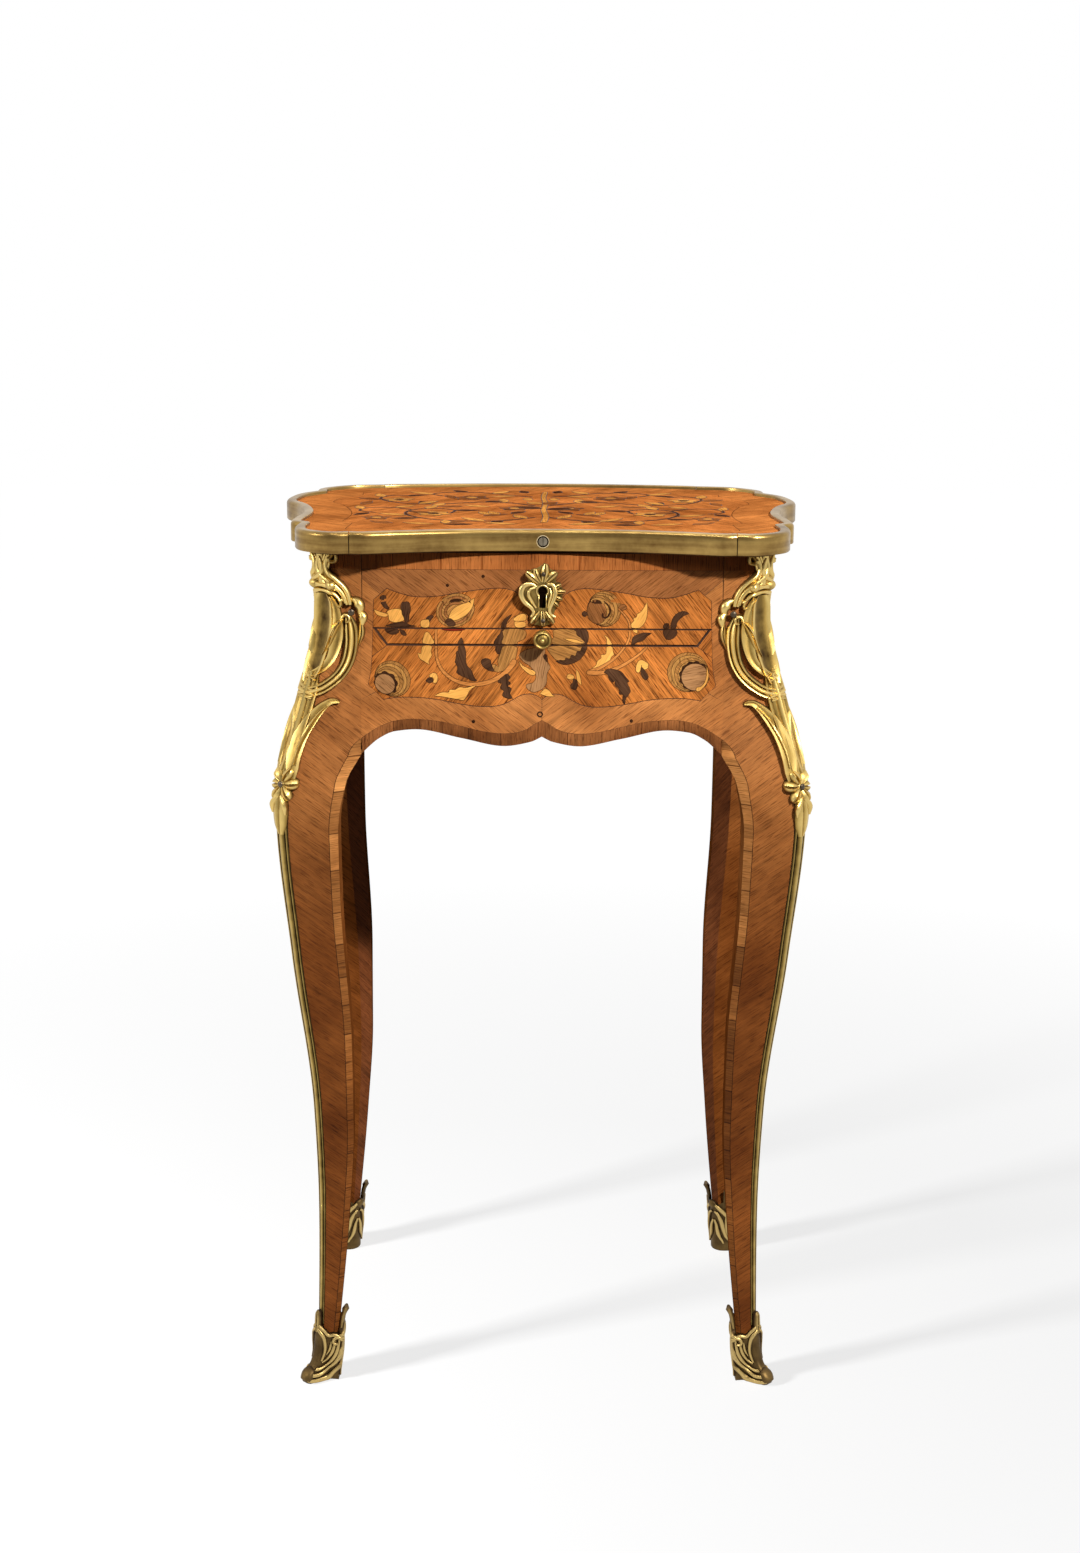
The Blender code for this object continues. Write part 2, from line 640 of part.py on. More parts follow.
def panel_ring(low, high, face):
    """A panel's section as (fore, height): up its outer face and down its inner face."""
    levels = [lerp(low, high, k / APRON_LEVELS) for k in range(APRON_LEVELS + 1)]
    outer = [(face(z), z) for z in levels]
    return outer + [(face(z) - PANEL_THICK, z) for z in reversed(levels)]


def make_front():
    """Upper rail with the lock, and the shaped apron whose ends rise beside the writing slide."""
    half = STILE_INNER - GAP
    low = SLIDE_TOP + GAP
    levels = [low, lerp(low, FLUSH_Z, 0.5), FLUSH_Z, CASE_TOP]
    rings = []
    for z in levels:
        fore, back = -panel_fore(z), -PANEL_FORE + PANEL_THICK
        rings.append([(-half, fore, z), (half, fore, z), (half, back, z), (-half, back, z)])
    rail = loft("front_rail", rings, "tulipwood", CARCASS)
    base = SLIDE_TOP - SLIDE_HEIGHT - GAP
    slant = eased([(SLIDE_HALF_BASE, base), (SLIDE_HALF_TOP, SLIDE_TOP)])
    rings = []
    for x in stations(half, (SLIDE_HALF_BASE + GAP, SLIDE_HALF_TOP + GAP)):
        top = slant(abs(x) - GAP) if abs(x) > SLIDE_HALF_BASE else base
        section = panel_ring(apron_low(x / half), top - (GAP if top == SLIDE_TOP else 0), arris_fore)
        rings.append([(x, -fore, z) for fore, z in section])
    loft("front_apron", rings, "kingwood", CARCASS)
    return rail


def make_back():
    half = STILE_INNER - GAP
    rings = []
    for x in stations(half):
        section = panel_ring(apron_low(x / half), CASE_TOP, panel_fore)
        rings.append([(x, fore, z) for fore, z in section])
    return loft("back_panel", rings, "kingwood", CARCASS)


def make_sides():
    half = SIDE_SEAM - GAP
    for side, sign in (("left", -1), ("right", 1)):
        rings = []
        for y in stations(half):
            share = (y + half) / (2 * half)
            bow = SIDE_SWELL * math.sin(math.pi * share)
            section = panel_ring(apron_low(y / half), CASE_TOP, arris_out)
            rings.append([(sign * (out + bow), y, z) for out, z in section])
        loft("side_panel_" + side, rings, "kingwood", CARCASS)


def cross_outline(reach_x, reach_y):
    """A board's plan with its corners notched round the legs."""
    notch_x, notch_y = STILE_INNER - GAP, SIDE_SEAM - GAP
    quarter = [(reach_x, notch_y), (notch_x, notch_y), (notch_x, reach_y)]
    right = [(x, -y) for x, y in reversed(quarter)] + quarter
    return [Vector(p) for p in right] + [Vector((-x, y)) for x, y in reversed(right)]


def make_inside():
    """Floor of the well under the lid, runners for the slide, and the bottom board under them."""
    reach_y = PANEL_FORE - PANEL_THICK - GAP
    reach_x = arris_out(WAIST_Z) - PANEL_THICK - GAP
    floor_low = SLIDE_TOP + GAP
    slab("well_floor", cross_outline(reach_x, reach_y), floor_low, floor_low + BOARD_THICK, "oak", CARCASS)
    runner_top = SLIDE_TOP - SLIDE_HEIGHT
    runner_base = runner_top - RUNNER_HEIGHT
    for side, sign in (("left", -1), ("right", 1)):
        ends = sorted((sign * SLIDE_BOARD_HALF, sign * (SLIDE_BOARD_HALF - RUNNER_WIDTH)))
        box("slide_runner_" + side, (ends[0], -reach_y, runner_base), (ends[1], reach_y, runner_top),
            "oak", CARCASS)
    slab("bottom_board", cross_outline(reach_x, reach_y), runner_base - GAP - BOARD_THICK, runner_base - GAP,
         "oak", CARCASS)


def make_slide():
    """Writing slide: mitred front lipping, board, leather and a turned knob."""
    base = SLIDE_TOP - SLIDE_HEIGHT
    back = -PANEL_FORE + PANEL_THICK
    rings = []
    for z in (base, SLIDE_TOP):
        half = lerp(SLIDE_HALF_BASE, SLIDE_HALF_TOP, (z - base) / SLIDE_HEIGHT) - GAP
        fore = -arris_fore(z)
        rings.append([(-half, fore, z), (half, fore, z), (half, back, z), (-half, back, z)])
    lipping = loft("slide_front", rings, "tulipwood", SLIDE)
    board_low = base + GAP
    board_high = board_low + SLIDE_BOARD_THICK
    board_fore = back + GAP
    box("slide_board", (-SLIDE_BOARD_HALF, board_fore, board_low),
        (SLIDE_BOARD_HALF, board_fore + SLIDE_DEPTH, board_high), "oak", SLIDE)
    leather_half = SLIDE_BOARD_HALF - LEATHER_MARGIN
    box("slide_leather", (-leather_half, board_fore + LEATHER_MARGIN, board_high + GAP),
        (leather_half, board_fore + SLIDE_DEPTH - LEATHER_MARGIN, board_high + GAP + LEATHER_THICK),
        "leather", SLIDE)
    middle = base + SLIDE_HEIGHT / 2
    add_knob(Vector((0, -arris_fore(base) - GAP, middle)), lipping)


def add_knob(place, lipping):
    ball = KNOB_NECK + KNOB_THROAT + KNOB_RADIUS
    profile = [(KNOB_RADIUS * math.sin(math.radians(a)), ball + KNOB_RADIUS * math.cos(math.radians(a)))
               for a in range(0, 151, 25)]
    profile += [(KNOB_NECK, KNOB_NECK), (KNOB_COLLAR, KNOB_NECK * 0.5), (KNOB_COLLAR, 0), (KNOB_SHANK, 0),
                (KNOB_SHANK, -KNOB_SHANK_LENGTH), (0, -KNOB_SHANK_LENGTH)]
    outward = (0, -1, 0)
    turned("slide_knob", profile, place, outward, "brass", SLIDE)
    reach = KNOB_SHANK + GAP
    end = -KNOB_SHANK_LENGTH - GAP
    hole = turned_cutter("slide_knob_hole", [(0, KNOB_SHANK), (reach, KNOB_SHANK), (reach, end), (0, end)],
                         place, outward)
    boolean(lipping, hole)


def make_hinges(back, panel):
    """Two butt hinges let into the back panel's top edge and the underside of the lid."""
    third = HINGE_LENGTH / 3
    for side, x in (("left", -HINGE_X), ("right", HINGE_X)):
        spans = {"body": [(-1.5, -0.5), (0.5, 1.5)], "lid": [(-0.5, 0.5)]}
        levels = {"body": (CASE_TOP - HINGE_LEAF, CASE_TOP), "lid": (LID_BASE, LID_BASE + HINGE_LEAF)}
        bore = add_cutter("hinge_bore_" + side, rod_mesh("hinge_bore", (x - HINGE_LENGTH, HINGE_Y, HINGE_Z),
                                                         (x + HINGE_LENGTH, HINGE_Y, HINGE_Z), HINGE_PIN + GAP))
        for part, frame in (("body", CARCASS), ("lid", LID)):
            low, high = levels[part]
            leaf_back = PANEL_FORE - GAP
            leaf = box("hinge_" + part + "_" + side, (x - HINGE_LENGTH / 2, leaf_back - HINGE_LEAF_DEPTH, low),
                       (x + HINGE_LENGTH / 2, leaf_back, high), "brass", frame)
            for i, (a, b) in enumerate(spans[part]):
                label = "hinge_{}_{}_{}".format(part, side, i)
                near, far = x + a * third + GAP / 2, x + b * third - GAP / 2
                web = box_cutter(label + "_web", (near, leaf_back - HINGE_LEAF, low), (far, HINGE_Y, high))
                boolean(leaf, web, "UNION")
                barrel = add_cutter(label + "_barrel", rod_mesh(label, (near, HINGE_Y, HINGE_Z),
                                                                (far, HINGE_Y, HINGE_Z), HINGE_BARREL))
                boolean(leaf, barrel, "UNION")
            boolean(leaf, bore)
        add_piece("hinge_pin_" + side, rod_mesh("hinge_pin", (x - HINGE_LENGTH / 2, HINGE_Y, HINGE_Z),
                                                (x + HINGE_LENGTH / 2, HINGE_Y, HINGE_Z), HINGE_PIN),
                  "steel", CARCASS)
        half = HINGE_LENGTH / 2 + GAP
        fore = PANEL_FORE - GAP - HINGE_LEAF_DEPTH - GAP
        room = HINGE_BARREL + 2 * GAP
        body_pocket = box_cutter("hinge_pocket_body_" + side, (x - half, fore, CASE_TOP - HINGE_LEAF - GAP),
                                 (x + half, HINGE_Y + room, CASE_TOP + room))
        boolean(back, body_pocket)
        lid_pocket = box_cutter("hinge_pocket_lid_" + side, (x - half, fore, LID_BASE - room),
                                (x + half, HINGE_Y + room, LID_BASE + HINGE_LEAF + GAP))
        boolean(panel, lid_pocket)
        barrel_room = add_cutter("hinge_room_" + side, rod_mesh("hinge_room", (x - half, HINGE_Y, HINGE_Z),
                                                                (x + half, HINGE_Y, HINGE_Z), room))
        boolean(panel, barrel_room)


def keyhole_cutters(front, back):
    """A round hole with a narrower slot below it, from one depth to another."""
    top = KEYHOLE_TOP - KEYHOLE_RADIUS
    eye = add_cutter("keyhole_eye", rod_mesh("keyhole_eye", (0, front, top), (0, back, top), KEYHOLE_RADIUS))
    slot = box_cutter("keyhole_slot", (-KEYHOLE_SLOT / 2, front, top - KEYHOLE_LENGTH),
                      (KEYHOLE_SLOT / 2, back, top))
    return eye, slot


def make_lock(rail, panel):
    """Box lock behind the rail: its bolt slides sideways through a staple on the lid."""
    fore = -PANEL_FORE + PANEL_THICK + GAP
    back = fore + LOCK_DEPTH
    middle = (fore + back) / 2
    case = box("lock_case", (-LOCK_HALF, fore, CASE_TOP - LOCK_DROP), (LOCK_HALF, back, CASE_TOP),
               "steel", CARCASS)
    half_thick = STAPLE_THICK / 2 + STAPLE_SLOT
    half_width = STAPLE_WIDTH / 2 + STAPLE_SLOT
    tongue_foot = CASE_TOP - STAPLE_LENGTH
    boolean(case, box_cutter("staple_slot", (-half_thick, middle - half_width, tongue_foot - STAPLE_SLOT),
                             (half_thick, middle + half_width, CASE_TOP + STAPLE_LENGTH)))
    axis = CASE_TOP - BOLT_DROP
    reach = BOLT_SIZE / 2 + BOLT_CLEAR
    tip = -half_thick - GAP
    tail = tip - BOLT_LENGTH
    travel_end = half_thick + BOLT_SIZE
    boolean(case, box_cutter("bolt_way", (tail - GAP, middle - reach, axis - reach),
                             (travel_end, middle + reach, axis + reach)))
    box("lock_bolt", (tail, middle - BOLT_SIZE / 2, axis - BOLT_SIZE / 2),
        (tip, middle + BOLT_SIZE / 2, axis + BOLT_SIZE / 2), "steel", BOLT)
    staple = box("lock_staple", (-STAPLE_PLATE_HALF, fore, LID_BASE),
                 (STAPLE_PLATE_HALF, back, LID_BASE + STAPLE_PLATE), "steel", LID)
    tongue = box_cutter("staple_tongue", (-STAPLE_THICK / 2, middle - STAPLE_WIDTH / 2, tongue_foot),
                        (STAPLE_THICK / 2, middle + STAPLE_WIDTH / 2, LID_BASE + STAPLE_PLATE / 2))
    boolean(staple, tongue, "UNION")
    eye = reach + BOLT_CLEAR
    boolean(staple, box_cutter("staple_eye", (-STAPLE_THICK, middle - eye, axis - eye),
                               (STAPLE_THICK, middle + eye, axis + eye)))
    boolean(panel, box_cutter("staple_pocket", (-STAPLE_PLATE_HALF - GAP, fore - GAP, LID_BASE - STAPLE_PLATE),
                              (STAPLE_PLATE_HALF + GAP, back + GAP, LID_BASE + STAPLE_PLATE + GAP)))
    hole = keyhole_cutters(-PANEL_FORE - PANEL_THICK, middle + LOCK_DEPTH / 4)
    for tool in hole:
        boolean(rail, tool)
        boolean(case, tool)
    return hole


def make_keyhole_plate(hole, rail):
    outline = through(PLATE_OUTLINE, PLATE_STEPS, closed=True)
    outline.reverse()
    narrow = inset(outline, PLATE_EDGE)
    seat = panel_fore(PLATE_Z - max(p.y for p in outline)) + GAP
    rings = []
    for depth, edge in ((0, outline), (PLATE_THICK - PLATE_EDGE, outline), (PLATE_THICK, narrow)):
        rings.append([(p.x, -seat - depth, PLATE_Z + p.y) for p in edge])
    plate = loft("escutcheon", rings, "gilt_bronze", CARCASS)
    for tool in hole:
        boolean(plate, tool)
    outward = (0, -1, 0)
    for name, (x, y) in PLATE_PINS.items():
        place = (x, -seat - PLATE_THICK - GAP, PLATE_Z + y)
        label = "escutcheon_pin_" + name
        turned(label, nail_profile(PIN_HEAD, PIN_SHANK, PIN_LENGTH), place, outward, "gilt_bronze", CARCASS)
        bore = turned_cutter(label + "_hole", nail_profile(PIN_SHANK, PIN_SHANK, PIN_LENGTH, GAP),
                             place, outward)
        boolean(plate, bore)
        boolean(rail, bore)


make_top()
make_legs()
front_rail = make_front()
back_panel = make_back()
make_sides()
make_inside()
make_slide()
make_hinges(back_panel, bpy.data.objects["top_panel"])
keyhole = make_lock(front_rail, bpy.data.objects["top_panel"])
make_keyhole_plate(keyhole, front_rail)
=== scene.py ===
import math
import random
from functools import lru_cache

import bmesh
import bpy
from mathutils import Euler, Matrix, Vector
from mathutils.geometry import delaunay_2d_cdt


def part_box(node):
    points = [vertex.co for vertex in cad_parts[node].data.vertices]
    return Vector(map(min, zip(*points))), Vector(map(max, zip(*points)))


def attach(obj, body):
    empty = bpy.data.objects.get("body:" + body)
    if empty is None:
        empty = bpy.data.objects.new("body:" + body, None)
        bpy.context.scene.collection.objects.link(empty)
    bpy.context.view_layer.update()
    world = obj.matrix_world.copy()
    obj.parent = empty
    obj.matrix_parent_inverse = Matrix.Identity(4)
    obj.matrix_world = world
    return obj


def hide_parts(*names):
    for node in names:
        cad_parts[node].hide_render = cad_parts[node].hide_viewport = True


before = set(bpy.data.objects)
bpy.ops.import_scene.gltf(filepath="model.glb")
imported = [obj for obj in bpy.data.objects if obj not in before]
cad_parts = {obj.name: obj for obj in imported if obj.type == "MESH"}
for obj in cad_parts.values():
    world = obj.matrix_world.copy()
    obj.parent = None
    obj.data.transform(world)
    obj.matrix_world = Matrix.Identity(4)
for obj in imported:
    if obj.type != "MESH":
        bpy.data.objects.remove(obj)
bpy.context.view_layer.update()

MM = 0.001
LUCK = random.Random(7)

# Main sizes of the case, in metres
GAP = 0.0003
CASE_TOP = 0.682
LID_BASE = 0.6823
RIM_TOP = 0.7
RIM_WIDTH = 0.008
TOP_FACE = 0.6973
STILE_INNER = 0.137
PANEL_FORE = 0.1325
SIDE_SEAM = 0.093
PANEL_THICK = 0.016
SIDE_SWELL = 0.004
FLUSH_Z = 0.645
WAIST_Z = 0.634
FLARE_Z = 0.573
SEAM_FOOT = 0.53
KNEE_Z = 0.49
ANKLE_Z = 0.15
SABOT_TOP = 0.052
LEG_BASE = 0.015
SLIDE_TOP = 0.6245
SLIDE_BASE = 0.6125
SLIDE_HALF_TOP = 0.1265
SLIDE_HALF_BASE = 0.117
INNER_CHAMFER = 0.3
VENEER = 0.0005
VENEER_LIFT = 0.0002
INLAY_LIFT = 0.00032
LAYER = 0.00003             # rise of an inlay that lies over another
CANT_DEPTH = 0.0048
JOINT_LINE = 0.0005
BAND_GRAIN = 36.0           # degrees, grain of the bands and legs
FIELD_GRAIN = 128           # degrees, grain of the framed fields
CANT_TOP = 0.5427           # where the canted strip runs out on the legs
STRIP_FOOT = 0.6692         # foot and top of the crossbanded strip under the edge
STRIP_TOP = 0.6816
ROSETTE_Z = 0.5075
SABOT_WALL = 0.0026


def shin(share):
    return KNEE_Z + (ANKLE_Z - KNEE_Z) * share


# Plan of the brass edge, right half, walked from the front middle round to the back middle
FRONT_RUN = [(0, -0.137), (0.06, -0.1402), (0.105, -0.1495), (0.132, -0.157), (0.1445, -0.1562)]
FRONT_LOBE = [(0.1445, -0.1562), (0.158, -0.158), (0.173, -0.1515), (0.184, -0.1385), (0.1878, -0.119),
    (0.1865, -0.0985)]
SIDE_RUN = [(0.1865, -0.0985), (0.1935, -0.09), (0.193, -0.069), (0.1892, -0.03), (0.1965, 0.008),
    (0.2072, 0.032), (0.2092, 0.053), (0.203, 0.083), (0.189, 0.104)]
BACK_LOBE = [(0.189, 0.104), (0.189, 0.1175), (0.18, 0.132), (0.162, 0.145), (0.136, 0.15)]
BACK_RUN = [(0.136, 0.15), (0.122, 0.154), (0.09, 0.158), (0.045, 0.1622), (0, 0.1636)]

# Leg curves as (height, distance)
ARRIS_OUT = [(CASE_TOP, 0.171), (WAIST_Z, 0.1685), (FLARE_Z, 0.1825), (KNEE_Z, 0.202), (shin(0.36),
    0.193), (shin(0.75), 0.1792), (ANKLE_Z, 0.1768), (LEG_BASE, 0.179)]
ARRIS_FORE = [(CASE_TOP, 0.128), (FLUSH_Z, 0.1325), (FLARE_Z, 0.143), (KNEE_Z, 0.1606), (shin(0.36),
    0.148), (shin(0.75), 0.132), (ANKLE_Z, 0.1285), (LEG_BASE, 0.1315)]
INNER_OUT = [(SEAM_FOOT, 0.137), (0.508, 0.149), (0.47, 0.1553), (shin(0.235), 0.1546), (shin(0.59),
    0.1484), (shin(0.8), 0.1483), (0.14, 0.153), (LEG_BASE, 0.165)]
INNER_FORE = [(SEAM_FOOT, 0.093), (0.508, 0.104), (0.47, 0.112), (shin(0.235), 0.11), (shin(0.59),
    0.1045), (shin(0.8), 0.103), (0.14, 0.1055), (LEG_BASE, 0.118)]
ARRIS_CHAMFER = [(CASE_TOP, 0.01), (KNEE_Z, 0.0085), (SABOT_TOP, 0.0042), (LEG_BASE, 0.0038)]
LEG_STRIP = [(CANT_TOP, 0.00005), (0.536, 0.0068), (0.53, 0.0096), (0.515, 0.0084), (0.49, 0.0068),
    (0.4, 0.0058), (0.15, 0.0042), (0.04, 0.0036)]
TOE_REACH = [(0.0, 0.0135), (0.005, 0.0143), (0.01, 0.0125), (0.014, 0.0095), (0.018, 0.0075),
    (0.026, 0.0057), (0.036, 0.005), (SABOT_TOP - GAP, 0.004)]

# Lower edge of an apron and the upper edge of its canted strip, as (share of the half, height)
APRON_EDGE = [(0, 0.543), (0.06, 0.5392), (0.21, 0.536), (0.44, 0.5415), (0.7, 0.548), (0.82, 0.5465),
    (0.91, 0.541), (1, 0.5305)]
STRIP_EDGE = [(0, 0.556), (0.04, 0.553), (0.09, 0.549), (0.15, 0.5465), (0.22, 0.546), (0.3, 0.547),
    (0.44, 0.551), (0.58, 0.555), (0.73, 0.5565), (0.82, 0.555), (0.9, 0.551), (1, CANT_TOP)]


def eased(keys):
    """A smooth value against place through the keys, which never overshoots them."""
    keys = sorted(keys)
    rises = [(b[1] - a[1]) / (b[0] - a[0]) for a, b in zip(keys, keys[1:])]
    slopes = [rises[0]]
    for before, after in zip(rises, rises[1:]):
        slopes.append(2 * before * after / (before + after) if before * after > 0 else 0.0)
    slopes.append(rises[-1])

    def value(place):
        if place <= keys[0][0]:
            return keys[0][1]
        for i in range(len(keys) - 1):
            if place <= keys[i + 1][0]:
                break
        else:
            return keys[-1][1]
        span = keys[i + 1][0] - keys[i][0]
        t = (place - keys[i][0]) / span
        return ((1 + 2 * t) * (1 - t) ** 2 * keys[i][1] + t * (1 - t) ** 2 * span * slopes[i]
                + t * t * (3 - 2 * t) * keys[i + 1][1] - t * t * (1 - t) * span * slopes[i + 1])

    return value


def curve(points, steps=4, closed=False):
    """A smooth line through points. A point that is given twice running stays a sharp corner."""
    points = [Vector(p) for p in points]
    count = len(points)

    def at(i):
        return points[i % count] if closed else points[min(max(i, 0), count - 1)]

    line = []
    for i in range(count if closed else count - 1):
        a, b, c, d = at(i - 1), at(i), at(i + 1), at(i + 2)
        if (c - b).length < 1e-9:
            continue
        for k in range(steps):
            t = k / steps
            line.append(0.5 * (2 * b + (c - a) * t + (2 * a - 5 * b + 4 * c - d) * t ** 2
                               + (3 * b - a - 3 * c + d) * t ** 3))
    if not closed:
        line.append(points[-1])
    return line


def lerp(a, b, t):
    return a + (b - a) * t


def sides_of(outline):
    """The pairs of neighbouring points round a closed outline."""
    return zip(outline, outline[1:] + outline[:1])


def extent(points):
    return (Vector((min(p.x for p in points), min(p.y for p in points))),
            Vector((max(p.x for p in points), max(p.y for p in points))))


def turns(count):
    """Angles spaced evenly round a circle."""
    return [2 * math.pi * k / count for k in range(count)]


def inset(outline, distance):
    """A closed outline, walked with its inside on the left, moved inwards."""
    moved = []
    for i, point in enumerate(outline):
        before = (point - outline[i - 1]).normalized()
        after = (outline[(i + 1) % len(outline)] - point).normalized()
        across = Vector((-before.y - after.y, before.x + after.x)).normalized()
        moved.append(point + across * distance / across.dot(Vector((-after.y, after.x))))
    return moved


def clear_of(outline, point, distance):
    """Whether a place lies at least a distance inside an outline."""
    for a, b in sides_of(outline):
        share = max(0.0, min(1.0, (point - a).dot(b - a) / max((b - a).length_squared, 1e-12)))
        if (a.lerp(b, share) - point).length < distance:
            return False
    return True


arris_out, arris_fore, arris_chamfer = eased(ARRIS_OUT), eased(ARRIS_FORE), eased(ARRIS_CHAMFER)
inner_out, inner_fore, leg_strip = eased(INNER_OUT), eased(INNER_FORE), eased(LEG_STRIP)
toe_reach, apron_edge, strip_edge = eased(TOE_REACH), eased(APRON_EDGE), eased(STRIP_EDGE)
CORNERS = [(end, side) for end in ("front", "back") for side in ("left", "right")]


def signs(end, side):
    """Which way is outwards at a corner, along x and along y."""
    return -1 if side == "left" else 1, -1 if end == "front" else 1


def in_metres(points):
    return [Vector((x * MM, y * MM)) for x, y in points]


def panel_fore(z):
    return PANEL_FORE if z > FLUSH_Z else arris_fore(z)


# Surfaces: each turns a flat place and a lift off the surface into a point
def on_front(p, lift):
    return Vector((p[0], -panel_fore(p[1]) - lift, p[1]))


def on_back(p, lift):
    return Vector((-p[0], panel_fore(p[1]) + lift, p[1]))


def on_side(sign):
    def place(p, lift):
        bow = SIDE_SWELL * math.cos(math.pi * p[0] / (2 * (SIDE_SEAM - GAP)))
        return Vector((sign * (arris_out(p[1]) + bow + lift), sign * p[0], p[1]))
    return place


def on_top(p, lift):
    return Vector((p[0], p[1], TOP_FACE + lift))


def on_corner(end, side, turn=1):
    """The leg's outside, unrolled: p is the way round from the arris, and the height."""
    sign_x, sign_y = signs(end, side)

    def place(p, lift):
        s, z = turn * p[0], p[1]
        out, fore, chamfer = arris_out(z), arris_fore(z), arris_chamfer(z)
        half = chamfer * math.sqrt(0.5)
        if s > half:
            base = (out - chamfer - (s - half), fore)
        elif s < -half:
            base = (out, fore - chamfer - (-s - half))
        else:
            base = (out - chamfer * (0.5 + 0.5 * s / half), fore - chamfer * (0.5 - 0.5 * s / half))
        bend = max(-1.0, min(1.0, s / (1.7 * half)))
        facing = math.radians(45 + 45 * math.sin(bend * math.pi / 2))
        return Vector((sign_x * (base[0] + lift * math.cos(facing)),
                       sign_y * (base[1] + lift * math.sin(facing)), z))
    return place


def unroll(x, z):
    """A place seen from the front, in mm, as the way round from the arris and the height, in metres."""
    x, z = x * MM, z * MM
    flat = arris_out(z) - arris_chamfer(z)
    half = arris_chamfer(z) * math.sqrt(0.5)
    if x <= flat:
        return Vector((half + flat - x, z))
    return Vector((half - (x - flat) * math.sqrt(2), z))


# Materials
class Recipe:
    """A finish, or the light around, with short ways to add and join its nodes."""

    def __init__(self, name, kind="materials"):
        self.made = getattr(bpy.data, kind).new(name)
        self.made.use_nodes = True
        self.tree = self.made.node_tree
        self.shader = self.tree.nodes.get("Principled BSDF")

    def node(self, kind, **settings):
        node = self.tree.nodes.new("ShaderNode" + kind)
        for key, value in settings.items():
            setattr(node, key, value)
        return node

    def join(self, source, target):
        if isinstance(source, (int, float)):
            target.default_value = source
        else:
            self.tree.links.new(source, target)

    def sums(self, operation, a, b):
        node = self.node("Math", operation=operation)
        self.join(a, node.inputs[0])
        self.join(b, node.inputs[1])
        return node.outputs[0]

    def noise(self, source, scale, detail=3.0, rough=0.55, twist=0.0):
        scaled, noise = self.node("Mapping"), self.node("TexNoise")
        scaled.inputs["Scale"].default_value = scale
        self.join(source, scaled.inputs["Vector"])
        for key, value in (("Vector", scaled.outputs["Vector"]), ("Scale", 1.0), ("Detail", detail),
                           ("Roughness", rough), ("Distortion", twist)):
            self.join(value, noise.inputs[key])
        return noise.outputs["Fac"]

    def grain(self, along, across, **settings):
        return self.noise(self.grain_map(), (along, across, 1.0), **settings)

    def grain_map(self):
        return self.node("UVMap", uv_map="grain").outputs["UV"]

    def cloud(self, *scale, **settings):
        scale = scale * 3 if len(scale) == 1 else scale
        return self.noise(self.node("TexCoord").outputs["Object"], scale, **settings)

    def tone(self):
        return self.node("Attribute", attribute_name="tone").outputs["Fac"]

    def ramp(self, source, stops):
        node = self.node("ValToRGB")
        elements = node.color_ramp.elements
        while len(elements) < len(stops):
            elements.new(0.5)
        for element, (place, colour) in zip(elements, stops):
            element.position = place
            element.color = (*colour, 1.0)
        self.join(source, node.inputs["Fac"])
        return node.outputs["Color"]

    def mix(self, factor, a, b, blend="MIX"):
        node = self.node("Mix", data_type="RGBA", blend_type=blend)
        self.join(factor, node.inputs[0])
        self.join(a, node.inputs[6])
        self.join(b, node.inputs[7])
        return node.outputs[2]

    def spread(self, source, low, high, to_low, to_high):
        node = self.node("MapRange")
        for socket, value in zip(node.inputs[:5], (source, low, high, to_low, to_high)):
            self.join(value, socket)
        return node.outputs["Result"]

    def bump(self, height, strength, distance):
        node = self.node("Bump")
        for key, value in (("Strength", strength), ("Distance", distance), ("Height", height)):
            self.join(value, node.inputs[key])
        self.join(node.outputs["Normal"], self.shader.inputs["Normal"])

    def done(self, colour, roughness, **constants):
        self.join(colour, self.shader.inputs["Base Color"])
        self.join(roughness, self.shader.inputs["Roughness"])
        for key, value in constants.items():
            self.shader.inputs[key.replace("_", " ")].default_value = value
        return self.made


def shade(colour, factor):
    return tuple(min(1.0, value * factor) for value in colour)


